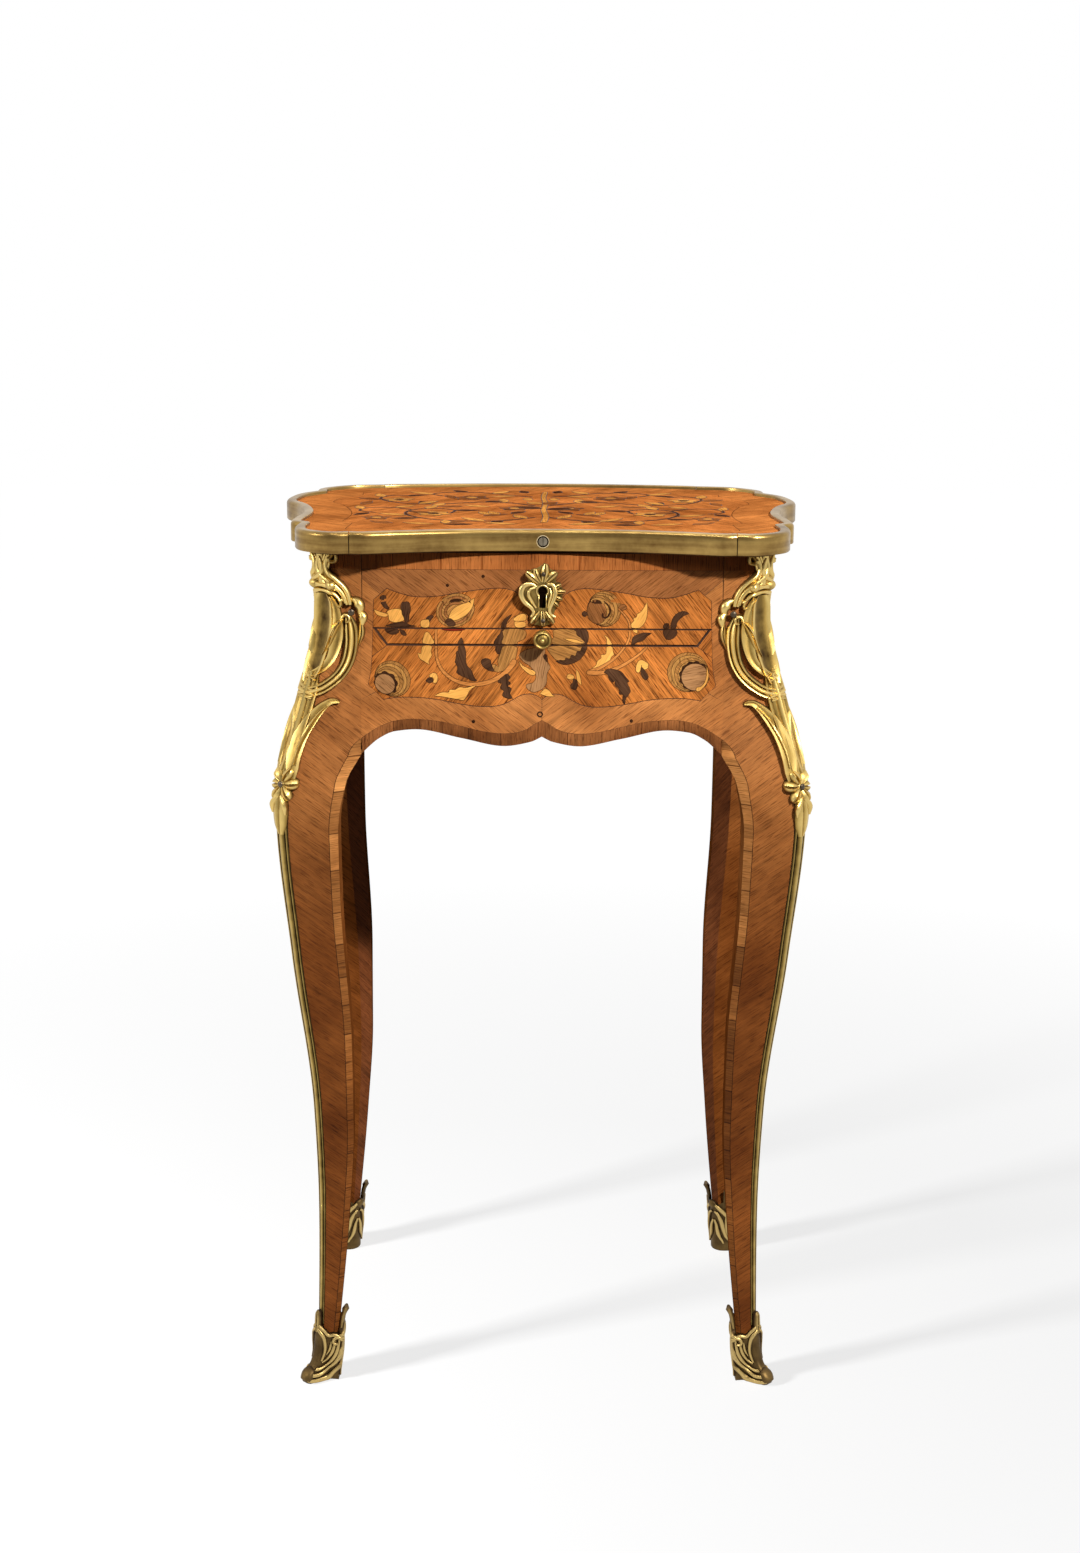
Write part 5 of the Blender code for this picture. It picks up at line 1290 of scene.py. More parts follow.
TOP_LEAVES = [ (TOP_YELLOW, 12, -54, 60, 26, 9), (TOP_DARK, 32, -66, -70, 18, 8),
    (TOP_YELLOW, 44, -70, 40, 28, 9), (TOP_BROWN, 60, -70, -40, 22, 9), (TOP_YELLOW, 76, -66, -100, 20, 8),
    (TOP_DARK, 98, -52, -20, 20, 9), (TOP_YELLOW, 108, -36, 20, 24, 9), (TOP_BROWN, 106, -14, -160, 20, 8),
    (TOP_YELLOW, 92, 4, 100, 22, 9), (TOP_DARK, 70, -6, 170, 20, 9), (TOP_YELLOW, 50, -14, -120, 22, 8),
    (TOP_BROWN, 46, -38, 140, 22, 9), (TOP_YELLOW, 34, -30, 60, 20, 8), (TOP_DARK, 24, -24, 120, 18, 8),
    (TOP_YELLOW, 42, 18, 20, 24, 8), (TOP_BROWN, 64, 22, -20, 20, 8), (TOP_YELLOW, 30, 46, 80, 24, 9),
    (TOP_DARK, 46, 50, 150, 18, 8), (TOP_YELLOW, 80, 38, -70, 20, 8), (TOP_DARK, 92, 34, 60, 20, 9),
    (TOP_YELLOW, 100, 34, 120, 24, 9), (TOP_BROWN, 132, 62, 20, 22, 9), (TOP_YELLOW, 132, 80, 70, 22, 9),
    (TOP_DARK, 112, 88, 150, 18, 8), (TOP_YELLOW, 22, 92, -30, 22, 8), (TOP_YELLOW, 40, 106, 120, 22, 9),
    (TOP_DARK, 62, 114, 40, 18, 8), (TOP_YELLOW, 90, 100, 30, 26, 9), (TOP_BROWN, 80, 92, -120, 20, 8),
    (TOP_YELLOW, 144, 0, 70, 22, 8), (TOP_DARK, 138, -22, -60, 18, 8), (TOP_YELLOW, 118, 10, 130, 20, 8),
    (TOP_BROWN, 146, 30, 100, 22, 8), (TOP_YELLOW, 20, -86, 10, 26, 9), (TOP_DARK, 54, -88, -10, 22, 8),
    (TOP_YELLOW, 84, -88, 14, 26, 9), (TOP_BROWN, 116, -84, 30, 22, 9), (TOP_YELLOW, 10, 60, 80, 18, 8),
    (TOP_DARK, 12, 110, 70, 18, 8), ]
TOP_INLAYS += [(wood, angle + 30, leaf(x, y, angle, length, width, 0.12))
               for wood, x, y, angle, length, width in TOP_LEAVES]
TOP_MIDDLE = [
    (TOP_YELLOW, 90, ribbon([(1, -76), (3, -40), (1.5, 0), (3.5, 40), (2, 80), (4, 116)], 4.6, 3.0)),
    (TOP_DARK, 40, leaf(0, 8, 155, 24, 15)),
    (TOP_DARK, 40, leaf(4, 2, 20, 22, 14)),
    (TOP_BROWN, 70, leaf(2, 34, 60, 20, 12)),
    (TOP_YELLOW, 20, leaf(0, 36, 130, 18, 11)),
]
BAND_WIDTH = 0.03
TOP_LINE = 0.0006           # glue line round the inlays of the top
WIDE_SPAN = 0.02            # the top is flat, so its sheets need few points


def tidy_line(line, least=0.0006):
    kept = []
    for p in line:
        if not kept or (p - kept[-1]).length > least:
            kept.append(p)
    while (kept[0] - kept[-1]).length < least:
        kept.pop()
    return kept


def top_piece():
    bench = Bench()
    edge = inset(OUTLINE, RIM_WIDTH + 0.0002)
    reach = RIM_WIDTH + BAND_WIDTH
    seam = inset(OUTLINE, reach)
    field = [p for p in inset(OUTLINE, reach + 0.0006) if clear_of(OUTLINE, p, reach + 0.0004)]
    lay(bench, tidy_line(edge), on_top, TOP_DARK, VENEER_LIFT - 0.00004, span=WIDE_SPAN)
    start = 0
    grains = {"front": 125, "right": 40, "back": 55, "left": 140}
    for name, run in RUNS.items():
        keys = [(start + i) % len(OUTLINE) for i in range(len(run))]
        start += len(run) - 1
        band = [edge[k] for k in keys]
        band += [seam[k] for k in reversed(keys) if clear_of(OUTLINE, seam[k], reach - 0.0002)]
        lay(bench, tidy_line(band), on_top, TOP_BAND, turn=grains[name], span=WIDE_SPAN)
    half = sorted((p for p in field if p.x > 0.0001), key=lambda p: math.atan2(p.y, p.x))
    ends = [Vector((0.0001, half[0].y)), Vector((0.0001, half[-1].y))]
    right = tidy_line([ends[0]] + half + [ends[1]])
    left = [Vector((-p.x, p.y)) for p in reversed(right)]
    for outline, flip in ((right, 1), (left, -1)):
        lay(bench, outline, on_top, TOP_GROUND, turn=130, flip=flip, span=WIDE_SPAN)
    for wood, turn, outline in TOP_INLAYS:
        for flip in (1, -1):
            inlay(bench, outline_mm(outline, flip), on_top, wood, turn, flip, TOP_LINE, WIDE_SPAN)
    for wood, turn, outline in TOP_MIDDLE:
        inlay(bench, outline_mm(outline), on_top, wood, turn, 1, TOP_LINE, WIDE_SPAN)
    bench.piece("top_marquetry", "lid", crease=20)


top_piece()

# Gilt corner mounts. Paths are seen from the front, in mm; those on the arris count from it.
CHUTE_ARRIS = [
    (ROUND, [(0, 681.6), (0, 672), (0, 658)], (7, 6.5, 6), (5.4, 5.6, 5.0)),
    (SHIELD, [(0, 650), (0, 641), (0, 622), (0, 604), (0, 584)], [(0, 8), (0.12, 15), (0.5, 16.5),
     (0.8, 15), (1, 8)], [(0, 4.6), (0.2, 5.4), (0.7, 5.6), (1, 5.0)]),
    (TONGUE, [(0, 592), (0, 580), (0, 562), (0, 541), (0, 524), (0, 510)], [(0, 12), (0.2, 18), (0.5, 16),
     (0.8, 13), (1, 8)], [(0, 4.6), (0.3, 5.8), (0.6, 5.2), (0.85, 4.0), (1, 2.2)]),
    (LEAF, [(0, 500), (0, 490), (0, 479), (0, 468.5)], [(0, 10), (0.25, 15), (0.7, 13), (1, 6)], [(0, 4.0),
     (0.4, 5.2), (0.8, 4.8), (1, 3.6)]),
    (ROUND, [(1.5, 499), (4.6, 492), (5.2, 485)], (3.4, 5, 2), (4.4, 6.2, 4.4)),
    (ROUND, [(-1.5, 499), (-4.6, 492), (-5.2, 485)], (3.4, 5, 2), (4.4, 6.2, 4.4)),
]
CHUTE_SIDES = [
    (CREST, [(161.6, 682), (163.4, 675), (163.8, 668), (161.8, 661), (157, 656)], [(0, 10.5), (0.4, 9.5),
     (1, 8)], [(0, 5.0), (0.6, 5.4), (1, 4.4)]),
    (ROUND, [(163.6, 681), (159.4, 682), (156, 679.4), (156.4, 675.2), (159.8, 674.6), (160.8, 677.2)],
     [(0, 3.6), (0.6, 3.4), (1, 3.2)], [(0, 6.2), (0.7, 6.6), (1, 7.0)]),
    (ROUND, [(160.6, 681.5), (162.4, 674), (161.4, 667), (157, 662.2), (151.2, 657), (147.2, 650.6),
     (145.4, 642.5)], [(0, 2.8), (0.4, 4.4), (0.8, 4.8), (1, 3.4)], (6.0, 6.8, 4.8)),
    (ROUND, [(165.2, 681.5), (166.6, 673), (165.2, 665.2), (160.2, 659.8), (154.2, 654.8), (149.8, 648.8),
     (147.8, 642.5)], [(0, 2.8), (0.4, 4.0), (1, 3.0)], (6.0, 6.6, 4.6)),
    (ROUND, [(171.6, 653.6), (165.8, 656.2), (159.8, 656.8), (154.8, 653.8), (151, 649.2), (149, 643.6)],
     (3.0, 3.8, 3), (5.6, 6.0, 4.6)),
    (ROUND, [(169.6, 650.4), (164.2, 652.6), (159, 651.6), (154.8, 648), (152.4, 643.4), (153, 641),
     (155, 641.8)], (2.6, 3.4, 2.6), [(0, 5.0), (0.6, 5.6), (1, 5.6)]),
    (WING, [(160, 649), (157, 641), (155.2, 628), (156.2, 613), (160.5, 601), (169, 592.5), (178, 586.5)],
     [(0, 3), (0.2, 8.4), (0.45, 10.4), (0.7, 8), (1, 3.5)], [(0, 4), (0.4, 5.4), (1, 4.2)]),
    (REEDS, [(147, 634), (144.6, 622), (144.8, 610), (147.6, 599), (153.6, 589.6), (162.6, 582.2),
     (172, 577.6), (182, 574.6)], [(0, 5), (0.15, 10.4), (0.6, 10.8), (1, 8)], [(0, 4.0), (0.4, 5.2),
     (1, 5.0)]),
    (ROUND, [(153.5, 628), (150.5, 634.4), (146.6, 634), (146.4, 630), (149, 629.6)], (2.4, 3.4, 2.4),
     (5.0, 5.6)),
    (ROUND, [(144.4, 646.4), (140.4, 645), (137.8, 640), (138.6, 635.6)], [(0, 4), (0.5, 8.4), (0.85, 6),
     (1, 3)], (3.4, 5.8, 3.0)),
    (ROUND, [(139.4, 637.5), (135.8, 633.6), (136.6, 627)], (3.6, 7.2, 3.8), (3.0, 5.2, 2.8)),
    (LEAF, [(150.2, 631.5), (155.4, 627.4), (159, 620), (162, 611.5), (165.5, 604.5)], [(0, 3), (0.3, 6.4),
     (0.7, 5.6), (1, 1.4)], [(0, 5.4), (0.4, 7.0), (0.8, 6.4), (1, 4.6)]),
    (LEAF, [(137.4, 629), (137.0, 620), (140.4, 609)], [(0, 3), (0.4, 5.6), (1, 1.6)], (3.4, 4.4, 2.0)),
    (WING, [(153.6, 569), (160, 569.8), (168, 564.4), (176.2, 554.6), (183, 542.5), (187.2, 529.5),
     (189.2, 518), (190.4, 510)], [(0, 1.8), (0.12, 6.0), (0.3, 11.0), (0.6, 12.4), (0.85, 10.5), (1, 5.5)],
     [(0, 2.4), (0.2, 4.8), (0.6, 5.2), (0.9, 4.0), (1, 2.0)]),
    (ROUND, [(163, 567), (171, 560), (178.4, 549), (184.4, 536), (188, 523)], [(0, 1.4), (0.4, 2.8),
     (1, 1.4)], [(0, 4.6), (0.4, 6.2), (1, 4.4)]),
]


def rosette(bench, place):
    centre = Vector((0, ROSETTE_Z))
    for k in range(6):
        angle = 2 * math.pi * k / 6 + 0.1
        along = Vector((math.cos(angle), math.sin(angle)))
        strap(bench, [centre + along * 0.002, centre + along * 0.008, centre + along * 0.014],
              [(0, 4), (0.5, 9.4), (0.85, 8.6), (1, 4.4)], [(0, 3.0), (0.55, 5.6), (0.9, 4.2), (1, 1.4)],
              LEAF, place, GILT)
    bead(bench, centre, 4.0, 3.4, place, GILT)


def corner_mounts():
    for end, side in CORNERS:
        bench = Bench()
        place = on_corner(end, side)
        for section, path, width, rise in CHUTE_ARRIS:
            strap(bench, in_metres(path), width, rise, section, place, GILT)
        rosette(bench, place)
        for turn in (1, -1):
            way = on_corner(end, side, turn)
            for section, path, width, rise in CHUTE_SIDES:
                strap(bench, [unroll(x, z) for x, z in path], width, rise, section, way, GILT)
            bead(bench, (-0.007, 0.657), 5.0, 8.2, way, GILT)
            bead(bench, unroll(152, 646), 2.4, 6.0, way, GILT)
        tag = end + "_" + side
        bench.piece("chute_" + tag, "carcass", ["corner_mount_" + tag], crease=48)


corner_mounts()


# Cast shoes
@lru_cache(maxsize=4096)
def shoe_line(z):
    """The shoe's outline at a height, as a smooth closed line that starts at the toe."""
    level = max(z, LEG_BASE)
    out, fore, toe, g = arris_out(level), arris_fore(level), 0.86 * toe_reach(z), SABOT_WALL
    near_out, near_fore = inner_out(level), inner_fore(level)
    cut_out, cut_fore = INNER_CHAMFER * (out - near_out), INNER_CHAMFER * (fore - near_fore)
    points = [(out + toe - 0.0028, fore + toe - 0.0028), (out + toe - 0.0062, fore + toe - 0.0008),
              (lerp(near_out, out, 0.52), fore + g), (near_out - g + 0.001, fore + g),
              (near_out - g, fore + g - 0.001), (near_out - g, near_fore + cut_fore),
              (near_out + cut_out, near_fore - g), (out + g - 0.001, near_fore - g),
              (out + g, near_fore - g + 0.001), (out + g, lerp(near_fore, fore, 0.52)),
              (out + toe - 0.0008, fore + toe - 0.0062)]
    line = curve(points, 5, True)
    ways = [0.0]
    for a, b in sides_of(line):
        ways.append(ways[-1] + (b - a).length)
    return line, ways


def on_shoe(end, side, turn=1):
    sign_x, sign_y = signs(end, side)

    def place(p, lift):
        line, ways = shoe_line(round(max(p[1], 0.0), 4))
        way = (turn * p[0]) % ways[-1]
        i = next(k for k in range(len(line)) if ways[k + 1] >= way)
        a, b = line[i], line[(i + 1) % len(line)]
        spot = a.lerp(b, (way - ways[i]) / max(ways[i + 1] - ways[i], 1e-9))
        before, after = line[i - 1], line[(i + 2) % len(line)]
        ahead = (after - before).normalized()
        spot = spot + Vector((ahead.y, -ahead.x)) * lift
        return Vector((sign_x * spot.x, sign_y * spot.y, max(p[1], 0.0)))
    return place


SHOE_SIDES = [
    (ROUND, [(27.0, 45), (27.0, 30), (26.8, 16), (25.2, 7.5), (20.5, 2.8), (13, 2.2), (6, 3.0), (1.5, 5)],
     (3.0, 5.6, 3.6), (1.4, 2.6, 2.2)),
    (ROUND, [(22.8, 39.5), (21.9, 26), (19.4, 14), (14.4, 7.6), (7.6, 7.2), (2.6, 9)], (2.4, 4.8, 3.0),
     (1.2, 2.8, 2.0)),
    (ROUND, [(19.4, 36.5), (18.2, 25), (15.2, 16), (10.6, 11.8), (5.2, 12.2)], (2.2, 4.2, 2.4),
     (1.2, 2.8, 1.6)),
    (ROUND, [(16, 35), (14.8, 26.5), (12, 19.6), (8, 16.4)], (2, 3.6, 2), (1.0, 2.6, 1.4)),
    (ROUND, [(12.8, 34), (12, 27.6), (10, 22.6)], (1.6, 2.8, 1.6), (0.8, 2.2, 1.0)),
    (ROUND, [(22.5, 33), (20, 37.4), (16.4, 37.6), (14.4, 35), (16, 32.4), (18.6, 33)], (2.4, 3.4, 2.4),
     (2.4, 3.4)),
    (ROUND, [(1.0, 45), (6.2, 38), (8, 28), (6.8, 18)], (2.6, 3.6, 2.2), (2.0, 3.0, 1.6)),
    (ROUND, [(39, 47), (35, 44), (29, 38), (25, 31)], (2.4, 4.4, 2.0), (1.8, 2.4, 1.2)),
    (ROUND, [(38.4, 39.5), (34.8, 36.5), (31.4, 29), (30, 20), (31, 11), (33.4, 3.5)], [(0, 2.2),
     (0.4, 4.6), (1, 2.6)], (1.4, 2.8, 1.6)),
    (ROUND, [(38.2, 31), (35.8, 25), (35.8, 17), (38.4, 8)], (2.0, 4.0, 2.0), (1.2, 2.4, 1.4)),
    (ROUND, [(0.5, 49), (6, 43.5), (10, 39.4), (15, 39.8), (19.5, 38.5), (23.4, 43), (25.4, 49)],
     (2.4, 3.4, 3.0), (1.6, 2.2, 1.8)),
]
# Height of the shoe's upper edge, in mm, against the share of the way round it
SHOE_CREST = [(0, 49), (0.1, 43), (0.19, 38), (0.3, 38), (0.36, 50), (0.44, 47), (0.5, 46)]
SHOE_ROWS = [0, 0.02, 0.05, 0.09, 0.14, 0.2, 0.27, 0.35, 0.45, 0.58, 0.72, 0.86, 1.0]
EAR_FOOT, EAR_TIP = 0.034, 0.0625
EAR_LEAN = [(EAR_FOOT, 0.0002), (0.048, 0.0004), (0.055, 0.0008), (0.0595, 0.002), (EAR_TIP, 0.0024)]
EAR_WIDTH = [(EAR_FOOT, 1.8), (0.05, 2.0), (0.057, 2.1), (0.06, 3.0), (0.0615, 2.8), (EAR_TIP, 1.6)]


def shoe_ear(bench, sign_x, sign_y, face):
    """The narrow leaf that climbs the inner edge of the leg above the shoe."""
    lean, stout = eased(EAR_LEAN), eased(EAR_WIDTH)
    rings, tones = [], []
    for k in range(13):
        z = lerp(EAR_FOOT, EAR_TIP, k / 12)
        out, fore = arris_out(z), arris_fore(z)
        edge = (inner_out(z) if face == 0 else inner_fore(z)) - lean(z) - 0.0017
        deep = (fore if face == 0 else out) - 0.003
        ring = []
        for angle in turns(10):
            across, along = edge + stout(z) * MM * math.cos(angle), deep + 0.0044 * math.sin(angle)
            spot = (across, along) if face == 0 else (along, across)
            ring.append(Vector((sign_x * spot[0], sign_y * spot[1], z)))
        rings.append(ring)
        # Brighter on the side that stands out from the leg: partly wear, partly a painted highlight.
        tones.append([0.2 + 0.35 * max(0, math.sin(angle)) for angle in turns(10)])
    skin(bench, rings, BRONZE, tones=tones)


def shoes(count=60):
    crest = eased(SHOE_CREST)
    for end, side in CORNERS:
        bench = Bench()
        place = on_shoe(end, side)
        rings, tones = [], []
        for share in SHOE_ROWS:
            ring = []
            for k in range(count):
                turn = k / count
                z = share * (crest(min(turn, 1 - turn)) * MM)
                length = shoe_line(round(z, 4))[1][-1]
                ring.append(place((turn * length, z), -0.0006 if share == 0 else 0.0))
            rings.append(ring)
            tones.append([0.22] * count)
        inner = [place((k / count * shoe_line(0.038)[1][-1], 0.038), -0.0034) for k in range(count)]
        rings.append(inner)
        tones.append([0.1] * count)
        skin(bench, rings, BRONZE, tones=tones)
        strap(bench, [(0, 0.042), (0, 0.05), (0, 0.056), (0, 0.06)],
              [(0, 4.4), (0.4, 7.2), (0.8, 6.4), (1, 2.6)], [(0, 1.8), (0.5, 2.2), (0.8, 2.0), (1, 0.6)],
              LEAF, place, BRONZE, sink=0.004, crest_wear_and_glint=3)
        bead(bench, (0, 0.007), 7.2, 3.2, place, BRONZE, 0.95, 0.4)
        bead(bench, (0.04, 0.0465), 4.6, 3.0, place, BRONZE, 0.95, 0.4)
        for face in (0, 1):
            shoe_ear(bench, *signs(end, side), face)
        for turn in (1, -1):
            way = on_shoe(end, side, turn)
            for section, path, width, rise in SHOE_SIDES:
                strap(bench, in_metres(path), width, rise, section, way, BRONZE, sink=0.0016, crest_wear_and_glint=3)
        tag = end + "_" + side
        bench.piece("shoe_" + tag, "carcass", ["sabot_" + tag], crease=50)


shoes()

# Keyhole plate, in mm on the front
PLATE_OUTLINE = [(1.5, 675.0), (4.6, 671.4), (7.8, 669.4), (11.6, 667.2), (9.6, 661.4), (12.8, 659.6),
    (15.8, 653.4), (13.4, 646.8), (10.0, 641.0), (8.5, 634.5), (8.8, 629.6), (3.0, 627.6), (0.6, 626.4),
    (-4.0, 627.8), (-8.8, 629.0), (-9.0, 635.0), (-8.5, 640.0), (-14.5, 645.5), (-16.5, 651.0),
    (-14.5, 657.0), (-10.6, 661.2), (-13.4, 667.0), (-7.6, 670.4), (-3.4, 671.6)]
PLATE_LEAF = [(0, 3.2), (0.6, 5.4), (0.9, 4.6), (1, 2.6)]
PLATE_SCROLLS = [
    ([(-4.5, 657), (-9, 659.2), (-14.5, 657.4), (-16.2, 651.5), (-13.5, 645.5), (-8.8, 641.5),
     (-6.5, 637.5), (-8.5, 634)], [(0, 2.4), (0.35, 5.0), (1, 2.6)], ROUND),
    ([(-5.4, 656.4), (-9.6, 655), (-10.6, 650.6), (-7.6, 645.6), (-4.8, 641)], (2, 3.2, 2), ROUND),
    ([(3.4, 659), (7.8, 658.6), (9.8, 652.4), (7.4, 645), (5.4, 640), (6.4, 636), (9.4, 634)], [(0, 2.4),
     (0.35, 4.2), (1, 2.6)], ROUND),
    ([(5.4, 656), (6.6, 651), (5.0, 645.6), (4.2, 641)], (1.8, 2.6, 1.8), ROUND),
    ([(8.5, 655.5), (11.5, 657.6), (14, 658.6)], [(0, 3.4), (0.6, 5), (1, 3)], LEAF),
    ([(9, 652.5), (13, 653.4), (17.2, 653.2)], [(0, 3.4), (0.6, 5), (1, 2.6)], LEAF),
    ([(9, 649.6), (12, 648.4), (15, 647)], [(0, 3.4), (0.6, 4.8), (1, 2.8)], LEAF),
    ([(7.5, 646), (10, 644), (12, 641.8)], [(0, 3.2), (0.6, 4.6), (1, 2.8)], LEAF),
    ([(0.5, 660.5), (1.6, 667), (2.2, 674.4)], [(0, 4), (0.6, 7.4), (0.9, 5.4), (1, 3)], LEAF),
    ([(-1.5, 660.5), (-4.6, 666), (-6, 670.6)], [(0, 3.4), (0.6, 5.4), (0.9, 4.6), (1, 2.6)], LEAF),
    ([(-3, 660), (-8, 664.6), (-12.6, 668)], [(0, 3.6), (0.6, 6.6), (0.9, 5.6), (1, 3)], LEAF),
    ([(2.4, 660.5), (6.4, 665), (10.4, 668)], [(0, 3.6), (0.6, 7.0), (0.9, 6), (1, 3)], LEAF),
    ([(0, 638.5), (0.4, 632), (0.6, 627.2)], [(0, 3.4), (0.6, 5.6), (0.9, 4.6), (1, 2.6)], LEAF),
    ([(-2, 638), (-5.4, 632.8), (-8.4, 629)], PLATE_LEAF, LEAF),
    ([(2, 638), (5.6, 632.6), (8.6, 629)], PLATE_LEAF, LEAF),
    ([(-2.9, 650.5), (-2.8, 645), (-2.7, 640.5)], (1.2, 1.4, 1.2), ROUND),
    ([(2.9, 650.5), (2.8, 645), (2.7, 640.5)], (1.2, 1.4, 1.2), ROUND),
]
EYE_Z = 653.7               # middle of the keyhole's round eye
EYE_RADIUS = 3.5
SLOT_HALF = 2.35
SLOT_FOOT = 640.7


def eye_arc(radius, start, sweep):
    angles = [math.radians(start + sweep * k / 12) for k in range(13)]
    return in_metres([(radius * math.cos(a), EYE_Z + radius * math.sin(a)) for a in angles])


def keyhole_plate():
    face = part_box("escutcheon")[1][1] - 0.001

    def on_plate(p, lift):
        return Vector((p[0], face - lift, p[1]))

    bench = Bench()
    hole_line = eye_arc(EYE_RADIUS, -48, 276) + in_metres([(-SLOT_HALF, 645), (-SLOT_HALF, SLOT_FOOT),
                                                    (SLOT_HALF, SLOT_FOOT), (SLOT_HALF, 645)])
    shell = outline_mm(PLATE_OUTLINE, steps=4)
    halves = []
    for sign in (1, -1):
        rim = [p for p in shell if sign * p.x > 0.0003]
        rim.sort(key=lambda p: math.atan2(sign * p.x, p.y - 0.649))
        near = sorted((p for p in hole_line if sign * p.x > 0.0003), key=lambda p: p.y)
        heights = (rim[0].y, rim[-1].y, SLOT_FOOT * MM, (EYE_Z + EYE_RADIUS) * MM)
        ends = [Vector((sign * 0.0001, y)) for y in heights]
        line = [ends[0]] + rim + ends[1:3] + near + [ends[3]]
        halves.append(tidy_line(line, 0.0002))
    for half in halves:
        lay(bench, half, on_plate, PLATE_GILT, 0.0004, thick=0.0014, tone=0.3)
    for path, width, section in PLATE_SCROLLS:
        strap(bench, in_metres(path), width, (2.0, 3.8, 2.2), section, on_plate, PLATE_GILT, steps=3)
    strap(bench, eye_arc(EYE_RADIUS + 1, -52, 284), (1.4, 1.4), (1.6, 1.6), ROUND, on_plate, PLATE_GILT,
          steps=2)
    # Near-black sheet behind the keyhole: painted shadow of the hole.
    lay(bench, hole_line, on_plate, HOLE_SHADOW_BLACK, -0.0006, thick=0.0003)
    bench.piece("keyhole_plate", "carcass", ["escutcheon"], crease=48)


keyhole_plate()


# Pieces that follow a path or repeat
def socket_in(tree, name, kind, value=None):
    socket = tree.interface.new_socket(name, in_out="INPUT", socket_type="NodeSocket" + kind)
    if value is not None:
        socket.default_value = value
    return socket.identifier


def build_tree(name, inputs, lay_out):
    tree = bpy.data.node_groups.new(name, "GeometryNodeTree")
    keys = {"Geometry": socket_in(tree, "Geometry", "Geometry")}
    for label, kind, value in inputs:
        keys[label] = socket_in(tree, label, kind, value)
    tree.interface.new_socket("Geometry", in_out="OUTPUT", socket_type="NodeSocketGeometry")
    source, target = tree.nodes.new("NodeGroupInput"), tree.nodes.new("NodeGroupOutput")

    def node(kind, family="GeometryNode", **settings):
        made = tree.nodes.new(family + kind)
        for key, value in settings.items():
            setattr(made, key, value)
        return made

    def named(label, kind):
        read = node("InputNamedAttribute", data_type=kind)
        read.inputs["Name"].default_value = label
        return read.outputs["Attribute"]

    result = lay_out(node, named, tree.links.new, source.outputs)
    real, paint = node("RealizeInstances"), node("SetMaterial")
    tree.links.new(result, real.inputs[0])
    tree.links.new(real.outputs[0], paint.inputs["Geometry"])
    tree.links.new(source.outputs["Finish"], paint.inputs["Material"])
    tree.links.new(paint.outputs[0], target.inputs[0])
    return tree, keys


def nail_tree():
    """Domed nail heads, one on each point, turned to its facing."""
    def lay_out(node, named, link, given):
        dome = node("MeshUVSphere")
        dome.inputs["Segments"].default_value = 20
        dome.inputs["Rings"].default_value = 12
        link(given["Head radius"], dome.inputs["Radius"])
        size = node("CombineXYZ", "ShaderNode")
        size.inputs[0].default_value = 1.0
        size.inputs[1].default_value = 1.0
        link(given["Dome share"], size.inputs[2])
        shape = node("Transform")
        link(dome.outputs["Mesh"], shape.inputs["Geometry"])
        link(size.outputs[0], shape.inputs["Scale"])
        align = node("AlignRotationToVector", "FunctionNode", axis="Z")
        link(named("facing", "FLOAT_VECTOR"), align.inputs["Vector"])
        scatter = node("InstanceOnPoints")
        link(given["Geometry"], scatter.inputs["Points"])
        link(shape.outputs["Geometry"], scatter.inputs["Instance"])
        link(align.outputs["Rotation"], scatter.inputs["Rotation"])
        return scatter.outputs["Instances"]

    return build_tree("nail_heads", [("Head radius", "Float", 0.0024), ("Dome share", "Float", 0.6),
                                     ("Finish", "Material", None)], lay_out)


def sweep_tree():
    """A drawn section along a path, kept turned to the path's facing."""
    def lay_out(node, named, link, given):
        path, profile = node("MeshToCurve"), node("MeshToCurve")
        link(given["Geometry"], path.inputs[0])
        turned = node("SetCurveNormal", mode="FREE")
        link(path.outputs[0], turned.inputs["Curve"])
        link(named("facing", "FLOAT_VECTOR"), turned.inputs["Normal"])
        scaled = node("Math", "ShaderNode", operation="MULTIPLY")
        link(named("girth", "FLOAT"), scaled.inputs[0])
        link(given["Width"], scaled.inputs[1])
        section = node("ObjectInfo")
        link(given["Section"], section.inputs["Object"])
        link(section.outputs["Geometry"], profile.inputs[0])
        swept = node("CurveToMesh")
        link(turned.outputs["Curve"], swept.inputs["Curve"])
        link(scaled.outputs[0], swept.inputs["Scale"])
        link(profile.outputs[0], swept.inputs["Profile Curve"])
        swept.inputs["Fill Caps"].default_value = True
        return swept.outputs[0]

    return build_tree("drawn_brass", [("Section", "Object", None), ("Width", "Float", 1.0),
                                      ("Finish", "Material", None)], lay_out)


def guide(name, points, edges=(), **attributes):
    """A mesh of places or of a path, for a tree to work on."""
    mesh = bpy.data.meshes.new(name)
    mesh.from_pydata([tuple(p) for p in points], list(edges), [])
    for key, values in attributes.items():
        vector = hasattr(values[0], "__len__")
        layer = mesh.attributes.new(key, "FLOAT_VECTOR" if vector else "FLOAT", "POINT")
        if vector:
            layer.data.foreach_set("vector", [c for value in values for c in value])
        else:
            layer.data.foreach_set("value", values)
    obj = bpy.data.objects.new(name, mesh)
    bpy.context.scene.collection.objects.link(obj)
    return obj


